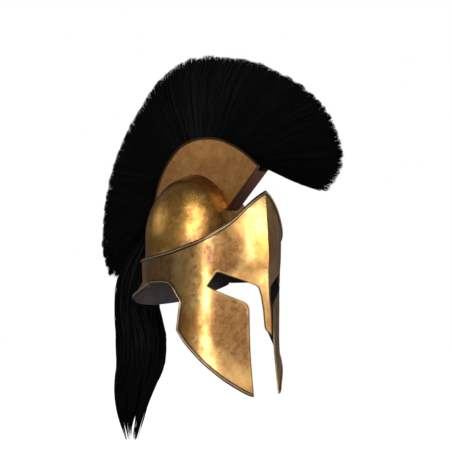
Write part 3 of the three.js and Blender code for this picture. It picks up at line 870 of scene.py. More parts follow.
@dataclass(frozen=True)
class StainedWood:
    """Dark red-brown wood with a fine grain along the crest."""

    name: str
    light: Colour = (0.11, 0.020, 0.012, 1.0)
    dark: Colour = (0.02, 0.006, 0.005, 1.0)
    grain_stretch: tuple[float, float, float] = (14.0, 1.0, 9.0)
    grain_share: float = 0.8
    cloud_share: float = 0.3
    roughness: float = 0.55

    def build(self, effects: Effects) -> bpy.types.Material:
        """Makes the material.

        Args:
            effects: The shared effects.

        Returns:
            The material.
        """
        material, n, bsdf = shader(self.name)
        place = n.add("ShaderNodeTexCoord").outputs["Object"]
        drawn = n.add("ShaderNodeMapping", None, {"Vector": place, "Scale": self.grain_stretch}).outputs[0]
        grain = n.noise(drawn, 22.0, 6.0, distortion=0.6)
        cloud = effects.mottle.place(n, Scale=60.0, Low=0.4, High=0.7, Warp=0.3)["Mask"]
        mixed = n.math("ADD", n.math("MULTIPLY", grain, self.grain_share),
                       n.math("MULTIPLY", cloud, self.cloud_share), clamp=True)
        n.join(n.mix(mixed, self.light, self.dark), bsdf, "Base Color")
        n.join(n.bump(0.4, 0.0006, grain), bsdf, "Normal")
        bsdf.inputs["Roughness"].default_value = self.roughness
        return material


class Finishes:
    """Every finish of the helmet, built once."""

    sheet_stains_and_shade = (
        StainAndShadePatch((0.040, -0.115, -0.222), (0.056, 0.055, 0.082), 1.25),  # front of the cheek
        StainAndShadePatch((0.058, -0.110, -0.120), (0.032, 0.040, 0.060), 1.15),  # painted dark reflection at the side of the brow
        StainAndShadePatch((0.03, -0.13, -0.15), (0.03, 0.03, 0.018), 0.6),  # painted shade under the brow ridge, over the eye
        StainAndShadePatch((0.09, -0.008, -0.148), (0.05, 0.058, 0.045), 1.25),  # painted dark reflection on the rear of the side, above the neck guard
        StainAndShadePatch((0.085, -0.04, -0.20), (0.05, 0.028, 0.10), 0.4),  # behind the temple
    )
    crown_painted_shade = (
        StainAndShadePatch((0.0, -0.012, 0.0), (0.034, 0.115, 0.11), 1.6),  # painted shadow of the crest on the crown, along the crest box
        StainAndShadePatch((0.0, -0.02, -0.112), (0.13, 0.13, 0.052), 1.0),  # painted shade low on the crown, where it meets the sheet
    )

    def __init__(self) -> None:
        """Makes the materials with their shared effects."""
        effects = Effects()
        self.sheet = AgedBrass("aged_brass_sheet", stains_and_shade=self.sheet_stains_and_shade).build(effects)
        self.crown = AgedBrass("aged_brass_crown", bright=(0.80, 0.455, 0.10, 1.0),
                               warm=(0.50, 0.215, 0.042, 1.0), patina=0.9,
                               stains_and_shade=self.crown_painted_shade).build(effects)
        # Lighter brass for the beads: worn bright, and partly a painted highlight along each bead.
        self.trim = AgedBrass("rubbed_and_highlit_brass_trim", bright=(0.90, 0.66, 0.38, 1.0),
                              warm=(0.70, 0.42, 0.17, 1.0), patina=0.3, dents=0.1).build(effects)
        self.box = AgedBrass("crest_box_brass", bright=(0.60, 0.29, 0.075, 1.0),
                             warm=(0.42, 0.175, 0.042, 1.0), patina=0.45, dents=0.15).build(effects)
        self.inside = DullInside("dull_inside").build(effects)
        self.bristle = BlackHair("black_bristle").build()
        self.hair = BlackHair("black_tail_hair", pale=(0.0032, 0.0029, 0.0027, 1.0), roughness=0.5).build()
        self.wood = StainedWood("stained_wood").build(effects)


# ---------------------------------------------------------------- face guard


@dataclass
class GuardForm:
    """Form of the raised sheet round the head, in degrees from the keel and millimetres of height."""

    heights: tuple = (-30, -63, -103, -142, -181, -220, -259, -318)
    keel_reach: tuple = (136.5, 138.2, 140.1, 141.3, 141.5, 142.4, 144.7, 151.9)
    half_width: tuple = (91, 91, 91, 91, 91, 91, 90.5, 90)
    sweep: tuple = (7, 11, 18.5, 25.8, 30.7, 34.1, 37.1, 39.2)
    flank: tuple = (70.7, 71.2, 72.2, 73.2, 72.7, 71.6, 70.4, 69.5)
    shoulder: tuple = (32, 32, 31, 30, 25.6, 18, 12, 8)
    back_reach: tuple = (77, 77, 77, 77, 76, 75, 74, 73)
    keel_handle: float = 47.0
    flare_reach: float = 24.0
    flare_top: float = -156.0
    flare_depth: float = 35.0
    top: float = -26.0
    foot: float = -322.0
    level_step: float = 2.0
    angle_step: float = 0.5
    flare_start: float = 96.0
    flare_spread: float = 46.0
    rear_handles: tuple = (0.8, 0.68)
    keel_crisp: float = 5.0
    temple_ease: float = 15.0
    ease_spread: float = 25.0
    ease_weights: Table = ((-1.0, 0.12), (-0.66, 0.15), (-0.33, 0.18), (0, 0.10), (0.33, 0.18), (0.66, 0.15),
                           (1.0, 0.12))
    brow_relief: float = 2.2
    brow_height: float = -127.0
    brow_fade: float = 22.0
    relief_foot: float = -205.0
    relief_foot_fade: float = 30.0
    relief_side: float = 41.0
    relief_side_fade: float = 16.0

    def __post_init__(self) -> None:
        """Works out the radius on a fine grid of heights and angles."""
        self.levels = np.arange(self.foot, self.top + self.level_step, self.level_step)
        self.angles = np.arange(0, 180 + self.angle_step, self.angle_step)
        self.radii = np.array([self._eased(self._plan(z)) for z in self.levels])

    def _eased(self, radii: np.ndarray) -> np.ndarray:
        """Spreads the turn at the temple over a wider arc, and leaves the keel crisp.

        Args:
            radii: Radius at every grid angle of one level.

        Returns:
            The eased radii.
        """
        reach = self.temple_ease * np.clip((self.angles - self.keel_crisp) / self.ease_spread, 0, 1)
        total = np.zeros_like(radii)
        for share, weight in self.ease_weights:
            place = np.abs(self.angles + share * reach)
            total += weight * np.interp(np.where(place > 180, 360 - place, place), self.angles, radii)
        return total

    def _plan(self, z: float) -> np.ndarray:
        """Radius at every grid angle of one level.

        Args:
            z: Height of the level.

        Returns:
            The radii.
        """
        names = ("keel_reach", "half_width", "sweep", "flank", "shoulder", "back_reach")
        tables = (tuple(zip(self.heights, getattr(self, name))) for name in names)
        reach, half, sweep, flank, shoulder, back = (float(through(t, np.array([z]))[0]) for t in tables)
        temple = -reach + flank
        lean = math.radians(sweep)
        k = self.keel_handle
        deep, wide = self.rear_handles
        front = ((0, -reach), (k * math.cos(lean), -reach + k * math.sin(lean)), (half, temple - shoulder),
                 (half, temple))
        rear = ((half, temple), (half, temple + deep * (back - temple)), (wide * half, back), (0, back))
        t = np.linspace(0, 1, 241)[:, None]
        parts = []
        for a, b, c, d in (np.array(front), np.array(rear)):
            parts.append((1 - t) ** 3 * a + 3 * (1 - t) ** 2 * t * b + 3 * (1 - t) * t**2 * c + t**3 * d)
        x, y = np.vstack([parts[0], parts[1][1:]]).T
        return np.interp(self.angles, np.degrees(np.arctan2(x, -y)), np.hypot(x, y))

    def radius(self, angle: np.ndarray, z: np.ndarray) -> np.ndarray:
        """Distance of the outer face from the upright axis.

        Args:
            angle: Degrees from the keel, of either sign.
            z: Heights.

        Returns:
            The distances.
        """
        angle, z = np.broadcast_arrays(np.abs(np.asarray(angle, float)), np.asarray(z, float))
        i = np.clip((z - self.foot) / self.level_step, 0, len(self.levels) - 1.001)
        j = np.clip(angle / self.angle_step, 0, len(self.angles) - 1.001)
        i0, j0 = i.astype(int), j.astype(int)
        u, v = i - i0, j - j0
        low = self.radii[i0, j0] * (1 - v) + self.radii[i0, j0 + 1] * v
        high = self.radii[i0 + 1, j0] * (1 - v) + self.radii[i0 + 1, j0 + 1] * v
        return low * (1 - u) + high * u - self._socket(angle, z) + self._flare(angle, z)

    def _socket(self, angle: np.ndarray, z: np.ndarray) -> np.ndarray:
        """How far the sheet sinks round the eyes, under the brow.

        Args:
            angle: Degrees from the keel, none below 0.
            z: Heights.

        Returns:
            The depths.
        """
        under = np.clip((self.brow_height - z) / self.brow_fade, 0, 1)
        under = under * np.clip((z - self.relief_foot) / self.relief_foot_fade, 0, 1)
        near = np.clip((self.relief_side - angle) / self.relief_side_fade, 0, 1)
        return self.brow_relief * smooth_step(under) * smooth_step(near)

    def _flare(self, angle: np.ndarray, z: np.ndarray) -> np.ndarray:
        """How far the neck guard curls outward.

        Args:
            angle: Degrees from the keel, none below 0.
            z: Heights.

        Returns:
            The reaches.
        """
        most, curl = 1.3, 1.1  # how far below flare_depth it goes on, and how hollow it is
        rearward = np.clip((angle - self.flare_start) / self.flare_spread, 0, 1)
        down = np.clip((self.flare_top - z) / self.flare_depth, 0, most)
        return self.flare_reach * smooth_step(rearward) * down**curl

    def inner_radius(self, angle: np.ndarray, z: np.ndarray, wall: float) -> np.ndarray:
        """Distance of the inner face from the upright axis.

        Args:
            angle: Degrees from the keel.
            z: Heights.
            wall: Thickness of the sheet.

        Returns:
            The distances.
        """
        slope = (self.radius(angle, z + 1) - self.radius(angle, z - 1)) / 2
        return self.radius(angle, z) - wall * np.hypot(1, slope)

    def point(self, angle: np.ndarray, z: np.ndarray) -> np.ndarray:
        """Points of the outer face.

        Args:
            angle: Degrees from the keel, of either sign.
            z: Heights.

        Returns:
            One point a row.
        """
        turn = np.radians(angle)
        reach = self.radius(angle, z)
        return np.column_stack([reach * np.sin(turn), -reach * np.cos(turn), z])

    def normal(self, angle: np.ndarray, z: np.ndarray) -> np.ndarray:
        """Outward unit normals of the outer face.

        Args:
            angle: Degrees from the keel, of either sign.
            z: Heights.

        Returns:
            One normal a row.
        """
        nudge = 0.6  # degrees, about a millimetre along the sheet
        across = self.point(angle + nudge, z) - self.point(angle - nudge, z)
        up = self.point(angle, z + 1) - self.point(angle, z - 1)
        out = np.cross(across, up)
        return out / np.linalg.norm(out, axis=1, keepdims=True)


@dataclass
class FaceGuard:
    """Raised sheet with the keel, eye openings, nasal, cheeks and flared neck guard."""

    form: GuardForm
    wall: float = 2.0
    brow_edge: Table = ((0, -33), (6, -41), (14, -55.5), (22.5, -73.5), (29, -84), (34.5, -91.3), (40.5, -98),
                        (46.5, -103.5), (67.5, -115), (110, -122.2), (145, -126), (180, -128))
    opening_top: Table = ((0, -234), (3.1, -225.5), (3.6, -199.5), (4.1, -180), (5.6, -167), (10, -162.4),
                          (14.7, -158.3), (24, -151.7), (32.2, -145.5), (38.8, -165))
    opening_bottom: Table = ((11.2, -316), (11.3, -281), (11.4, -240), (11.5, -198), (12.1, -192),
                             (14.2, -187.4), (23.9, -179.1), (34, -170.5), (38.8, -165))
    cheek_edge: Table = ((11, -318), (15, -314.3), (24.8, -300.8), (30.4, -292.3), (41.5, -272.1),
                         (48.6, -257), (54.7, -243.6), (61.8, -224.5))
    cheek_rear: Table = ((61.8, -224.5), (60.1, -205), (58.7, -190.5), (58.9, -184), (62, -176), (65.2, -167),
                         (68.9, -161))
    notch: Table = ((71, -160.8), (78, -159.5), (86, -159.5), (101, -159.5))
    neck_rim: Table = ((101.5, -161), (106, -164.3), (118, -170.5), (133, -178), (155, -187), (180, -191))
    step: float = 3.0
    edge_step: float = 1.5

    def along(self, table: Table, soften: int = 0) -> np.ndarray:
        """Dense row of (degrees, height) along a table, even in length.

        Args:
            table: Corners in degrees and height.
            soften: How much to round the corners.

        Returns:
            The row.
        """
        return softened(resample(np.array(table, float) * SKIN_SCALE, self.edge_step), soften) / SKIN_SCALE

    def smooth_edge(self, table: Table) -> np.ndarray:
        """Dense row along the smooth curve through an edge's table.

        Args:
            table: Places and heights.

        Returns:
            The row, even in length.
        """
        x = np.linspace(table[0][0], table[-1][0], 400)
        return self.along(tuple(zip(x, through(table, x))))

    def outline(self) -> np.ndarray:
        """Edge of the left half of the sheet.

        Returns:
            Degrees and heights, going round once.
        """
        parts = [
            self.smooth_edge(self.brow_edge),
            self.along((self.brow_edge[-1], self.neck_rim[-1])),
            self.smooth_edge(self.neck_rim)[::-1],
            self.along(self.notch)[::-1],
            self.along(self.cheek_rear, 3)[::-1],
            self.smooth_edge(self.cheek_edge)[::-1],
            self.along(self.opening_bottom, 1),
            self.along(self.opening_top, 3)[::-1],
            self.along((self.opening_top[0], self.brow_edge[0])),
        ]
        nearest = 0.05  # points closer than this count as one
        whole = np.vstack(parts)
        keep = np.linalg.norm(np.diff(whole, axis=0), axis=1) > nearest
        return whole[:-1][keep]

    def build(self, outer: bpy.types.Material, inner: bpy.types.Material) -> bpy.types.Object:
        """Makes the sheet.

        Args:
            outer: Finish of the outer face.
            inner: Finish of the inner face.

        Returns:
            The piece.
        """
        seam, clear = 0.02, 0.3  # degrees: taken as the midline, and well away from it
        outline = self.outline()
        flat, faces = filled(outline * SKIN_SCALE, self.step)
        flat = flat / SKIN_SCALE
        angle = flat[:, 0]
        angle[angle < seam] = 0
        angle[angle > 180 - seam] = 180
        half = self.form.point(angle, flat[:, 1])
        half[(angle == 0) | (angle == 180), 0] = 0
        points = np.vstack([half, half * [-1, 1, 1]])
        both = [tuple(f) for f in faces] + [tuple(f[::-1] + len(half)) for f in faces]
        obj = mesh_object("face_guard_sheet", points, both, outer)
        edges = outline[(outline[:, 0] > clear) & (outline[:, 0] < 180 - clear)]
        away = distance_to(flat * SKIN_SCALE, edges * SKIN_SCALE)
        put_attribute(obj, "edge", np.r_[away, away])
        outward_faces(obj, 1e-5)
        crisp_midline(obj)
        thicken(obj, self.wall, inner)
        return finish_piece(obj, "face_guard")


class EdgeRow(Enum):
    """The trimmed edges of the face guard."""

    BROW = "brow_band"
    CHEEK_LEFT = "cheek_band_left"
    CHEEK_RIGHT = "cheek_band_right"
    NECK = "neck_band"


@dataclass
class TrimBands:
    """Rolled bead with a chased line beside it, along each edge of the sheet."""

    guard: FaceGuard
    profile: Table = ((-0.2, -1.8), (-0.45, 0.2), (-0.35, 1.2), (0.2, 1.5), (1.1, 1.2), (1.4, 1.5),
                      (1.6, 2.2), (1.95, 2.65), (2.35, 2.65), (2.7, 2.2), (2.9, 1.5), (3.05, 0.7),
                      (3.9, 0.3), (4.6, 0.4), (5.0, 0.3), (5.1, -0.4))
    bead_foot: float = 2.0
    groove_fade: float = 0.5
    keel_normal: tuple = (0, -1, 0.05)

    def path(self, row: EdgeRow) -> np.ndarray:
        """Degrees and heights along one edge, on the left side where it has a pair.

        Args:
            row: Which edge.

        Returns:
            The path.
        """
        guard = self.guard
        if row is EdgeRow.BROW:
            half = guard.smooth_edge(guard.brow_edge)
            return np.vstack([half, half[-2:0:-1] * [-1, 1] + [360, 0]])
        if row is EdgeRow.NECK:
            half = guard.smooth_edge(guard.neck_rim)
            return np.vstack([half, half[-2::-1] * [-1, 1] + [360, 0]])
        lower = guard.smooth_edge(guard.cheek_edge)[2:]
        last = (99, guard.notch[-1][1])
        rear = guard.along((*guard.cheek_rear, *guard.notch[:-1], last), 3)
        return np.vstack([lower, rear[1:]])

    def build(self, row: EdgeRow, finish: bpy.types.Material) -> bpy.types.Object:
        """Makes one band.

        Args:
            row: Which edge.
            finish: Its finish.

        Returns:
            The piece.
        """
        path = self.path(row)
        closed = row is EdgeRow.BROW
        angle = np.where(path[:, 0] > 180, path[:, 0] - 360, path[:, 0])
        points = self.guard.form.point(angle, path[:, 1])
        normals = self.guard.form.normal(angle, path[:, 1])
        normals[np.abs(angle) < 0.3] = self.keel_normal
        sign = -1 if closed else 1
        profile = tuple((side * sign, height) for side, height in self.profile)
        verts, faces = swept(points, normals, profile, closed)
        if row is EdgeRow.CHEEK_RIGHT:
            verts = verts * [-1, 1, 1]
        obj = mesh_object(row.value + "_bead", verts, faces, finish)
        outward_faces(obj)
        height = np.array([h for _, h in self.profile])
        rubbed, kept = 1.5, 12.0  # distances to an edge, as the wear reads them; the rubbed bead top is worn metal and partly a painted highlight
        edge = np.where(height > self.bead_foot, rubbed, kept)
        groove = np.clip((self.bead_foot - height) / self.groove_fade, 0, 0.95)
        put_attribute(obj, "edge", np.tile(edge, len(points)))
        put_attribute(obj, "groove", np.tile(groove, len(points)))
        return finish_piece(obj, row.value)


# ---------------------------------------------------------------- cap and crest


@dataclass
class SkullCap:
    """Half-egg crown that rises out of the face guard."""

    form: GuardForm
    half_width: float = 82.6
    front_reach: float = 80.5
    back_reach: float = 72.0
    height: float = 96.5
    top: float = 2.0
    wall: float = 2.0
    wall_gap: float = 0.9
    edge: Table = ((0, -112), (40, -117), (75, -128), (180, -140))
    around: int = 120
    dome_rows: int = 45
    skirt_rows: int = 12
    skirt_turn: float = 0.45

    def plan(self, angle: np.ndarray, offset: float) -> np.ndarray:
        """Radius of the widest level.

        Args:
            angle: Degrees from the front.
            offset: Distance off the outer face.

        Returns:
            The radii.
        """
        turn = np.radians(angle)
        reach = np.where(np.abs(angle) < 90, self.front_reach, self.back_reach)
        return 1 / np.hypot(np.sin(turn) / (self.half_width + offset), np.cos(turn) / (reach + offset))

    def crown_height(self, x: np.ndarray, y: np.ndarray, offset: float) -> np.ndarray:
        """Height of the dome over places in plan.

        Args:
            x: Places across.
            y: Places from front to back.
            offset: Distance off the outer face.

        Returns:
            The heights.
        """
        angle = np.degrees(np.arctan2(x, -y))
        share = np.hypot(x, y) / self.plan(angle, offset)
        waist = self.top - self.height
        return waist + (self.height + offset) * np.sqrt(np.clip(1 - share**2, 0, 1))

    def build(self, outer: bpy.types.Material, inner: bpy.types.Material) -> bpy.types.Object:
        """Makes the cap.

        Args:
            outer: Finish of the outer face.
            inner: Finish of the inner face.

        Returns:
            The piece.
        """
        around = self.around
        angles = np.linspace(-180, 180, around + 1)[:-1]
        waist = self.top - self.height
        widest = self.plan(angles, 0)
        levels = []
        for lean in np.radians(np.linspace(2, 90, self.dome_rows)):
            levels.append((widest * math.sin(lean), np.full(around, waist + self.height * math.cos(lean))))
        low = through(self.edge, np.abs(angles))
        for t in np.linspace(0, 1, self.skirt_rows + 1)[1:]:
            z = waist + (low - waist) * t
            ease = smooth_step(max(t - self.skirt_turn, 0) / (1 - self.skirt_turn))
            skirt = self.form.inner_radius(angles, z, self.wall) - self.wall_gap
            levels.append((widest * (1 - ease) + skirt * ease, z))
        turn = np.radians(angles)
        rows = [np.column_stack([reach * np.sin(turn), -reach * np.cos(turn), z]) for reach, z in levels]
        points = np.vstack([*rows, [[0, 0, self.top]]])
        top = len(points) - 1
        faces = grid_faces(len(rows), around, True)
        faces += [(top, (j + 1) % around, j) for j in range(around)]
        obj = mesh_object("skull_cap_crown", points, faces, outer)
        put_attribute(obj, "edge", np.full(len(points), UNWORN))
        outward_faces(obj)
        thicken(obj, self.wall, inner)
        return finish_piece(obj, "skull_cap")


@dataclass
class CrestForm:
    """Side-view curves that the crest box and the bristles share, as front-to-back place and height."""

    roots: Table = ((-137, 1), (-130, 7), (-118, 17), (-104, 27), (-83, 39), (-52, 51), (-12, 55), (22, 48),
                    (47, 31), (64, 12), (75, -7), (81, -24), (83.5, -35), (84, -45))
    tips: Table = ((-241, -43), (-268, -12), (-262, 33), (-236, 77), (-188, 117), (-115, 155), (-12, 178),
                   (70, 161), (135.5, 105.5), (180, 50.5), (206, -9), (217, -63.5), (217.5, -109),
                   (200, -146))

    def root(self, t: np.ndarray) -> np.ndarray:
        """Points of the root curve at shares of its length."""
        return catmull(np.array(self.roots, float), t)

    def tip(self, t: np.ndarray) -> np.ndarray:
        """Points of the tip curve at shares of its length."""
        return catmull(np.array(self.tips, float), t)


class Shell:
    """Vertices, faces and shading numbers of a piece put together from several parts."""

    def __init__(self) -> None:
        """Starts empty."""
        self.points: list = []
        self.faces: list = []
        self.edge: list = []
        self.groove: list = []

    def add(self, part: tuple[np.ndarray, list], edge: object, groove: object = 0.0) -> None:
        """Adds one part.

        Args:
            part: Its vertices and faces.
            edge: Distance to the nearest edge as the wear reads it, one number or one a vertex.
            groove: Depth of the chased line, one number or one a vertex.
        """
        points, faces = part
        base = len(self.points)
        self.points += list(points)
        self.faces += [tuple(base + i for i in face) for face in faces]
        self.edge += list(np.broadcast_to(edge, len(points)))
        self.groove += list(np.broadcast_to(groove, len(points)))


@dataclass
class CrestBox:
    """Narrow box of two side plates and a floor, soldered to a saddle over the crown."""

    crest: CrestForm
    cap: SkullCap
    half_width: float = 10.6
    saddle_half: float = 9.3
    plate: float = 1.4
    gap: float = 0.5
    step: float = 4.0
    heel: Table = ((83.6, -56), (83, -66), (81, -76), (78, -84))
    foot_ends: tuple = (73.2, -78.5)
    bead: Table = ((0.0, -1.2), (-0.25, 0.3), (0.1, 1.0), (0.8, 1.2), (1.5, 1.0), (1.75, 0.4), (2.0, 0.12),
                   (2.9, 0.1), (3.3, 0.12), (3.4, -0.4))
    bead_foot: float = 0.95
    groove_fade: float = 0.3
    rim_wear: float = 6.0
    # The crest box's bead counts as 0.6 mm from an edge: worn bright, then darkened almost fully by the
    # painted lip shade.
    bead_wear_and_lip_shade: float = 0.6
    saddle_wear: float = 20.0

    def rim(self) -> np.ndarray:
        """Upper edge of a plate from its front corner to the heel.

        Returns:
            Place and height, one a row.
        """
        arc = self.crest.root(np.linspace(0, 1, 240))
        return np.vstack([resample(arc, 2.0), self.heel])

    def foot(self) -> np.ndarray:
        """Lower edge of a plate, which follows the crown from back to front.

        Returns:
            Place and height, one a row.
        """
        y = np.linspace(*self.foot_ends, 90)
        z = self.cap.crown_height(np.full(len(y), self.half_width), y, self.gap)
        return np.column_stack([y, z])[z > self.heel[-1][1]]

    def front(self) -> np.ndarray:
        """Front edge of a plate, from the crown up to the rim.

        Returns:
            Place and height, one a row.
        """
        lowest = -59  # the corner is the last point of the foot above this height
        foot = self.foot()
        corner = foot[foot[:, 1] > lowest][-1]
        return resample(np.array([corner, self.crest.roots[0]]), 2.5)

    def build(self, finish: bpy.types.Material) -> bpy.types.Object:
        """Makes the box.

        Args:
            finish: Its finish.

        Returns:
            The piece.
        """
        rim, foot, front = self.rim(), self.foot(), self.front()
        foot = foot[: int(np.argmin(np.abs(foot - front[0]).sum(axis=1))) + 1]
        outline = np.vstack([rim, foot[:-1], front[:-1]])
        flat, triangles = filled(outline, self.step)
        edge = distance_to(flat, np.vstack([rim, front])) + self.rim_wear
        line = np.vstack([front, rim[1:]])
        groove = (self.bead_foot - np.array([height for _, height in self.bead])) / self.groove_fade
        shell = Shell()
        for side in (-1, 1):
            shell.add(self._side_plate(side, outline, flat, triangles), np.tile(edge, 2))
            shell.add(self._rim_bead(side, line), self.bead_wear_and_lip_shade, np.tile(groove, len(line)))
        for lift in (self.gap, self.gap + self.plate):
            shell.add(self._saddle(foot[:, 0], lift), self.saddle_wear)
        obj = mesh_object("crest_box_plates", np.array(shell.points), shell.faces, finish)
        put_attribute(obj, "edge", np.array(shell.edge))
        put_attribute(obj, "groove", np.clip(np.array(shell.groove), 0, 0.9))
        outward_faces(obj)
        crisp = obj.modifiers.new("crisp", "EDGE_SPLIT")
        crisp.split_angle = math.radians(50)
        return finish_piece(obj, "crest_box")

    def _side_plate(self, side: int, outline: np.ndarray, flat: np.ndarray,
                    triangles: np.ndarray) -> tuple[np.ndarray, list]:
        """One side plate.

        Args:
            side: -1 for the wearer's right, 1 for the left.
            outline: Its edge.
            flat: Points that fill the edge.
            triangles: Triangles of those points.

        Returns:
            Vertices and faces.
        """
        count = len(flat)
        layers = []
        for depth in (0, self.plate):
            layers.append(np.column_stack([np.full(count, side * (self.half_width - depth)), flat]))
        faces = [tuple(f) for f in triangles] + [tuple(count + f[::-1]) for f in triangles]
        ring = [int(np.argmin(((flat - p) ** 2).sum(axis=1))) for p in outline]
        for a, b in zip(ring, ring[1:] + ring[:1]):
            faces.append((a, b, count + b, count + a))
        return np.vstack(layers), faces

    def _rim_bead(self, side: int, line: np.ndarray) -> tuple[np.ndarray, list]:
        """Raised rim of one plate, with a chased line inside it.

        Args:
            side: -1 for the wearer's right, 1 for the left.
            line: Edge that it follows.

        Returns:
            Vertices and faces.
        """
        path = np.column_stack([np.full(len(line), side * self.half_width), line])
        normals = np.tile([side, 0.0, 0.0], (len(path), 1))
        profile = tuple((-side * across, height) for across, height in self.bead)
        return swept(path, normals, profile, False)

    def _saddle(self, places: np.ndarray, lift: float) -> tuple[np.ndarray, list]:
        """Strip that follows the crown between the plates.

        Args:
            places: Places from front to back.
            lift: Distance off the crown.

        Returns:
            Vertices and faces.
        """
        across = np.linspace(-self.saddle_half, self.saddle_half, 7)
        x, y = (part.ravel() for part in np.meshgrid(across, places))
        points = np.column_stack([x, y, self.cap.crown_height(x, y, lift)])
        return points, grid_faces(len(places), len(across), False)


# ---------------------------------------------------------------- hair


def ribbons(lines: np.ndarray, across: np.ndarray, widths: np.ndarray) -> tuple[np.ndarray, list]:
    """Flat tapering strands.

    Args:
        lines: Points by strand and station.
        across: Unit direction of each strand's width, by strand and station.
        widths: Half width, by strand and station.

    Returns:
        Vertices and faces.
    """
    count, stations = lines.shape[:2]
    left = lines - across * widths[..., None]
    right = lines + across * widths[..., None]
    points = np.stack([left, right], axis=2).reshape(-1, 3)
    k = np.arange(stations - 1)[None] * 2 + np.arange(count)[:, None] * stations * 2
    faces = np.stack([k, k + 1, k + 3, k + 2], axis=2).reshape(-1, 4)
    return points, faces.tolist()


def column(values: np.ndarray) -> np.ndarray:
    """Values or points by strand, ready to spread over each strand's stations."""
    return values[:, None]


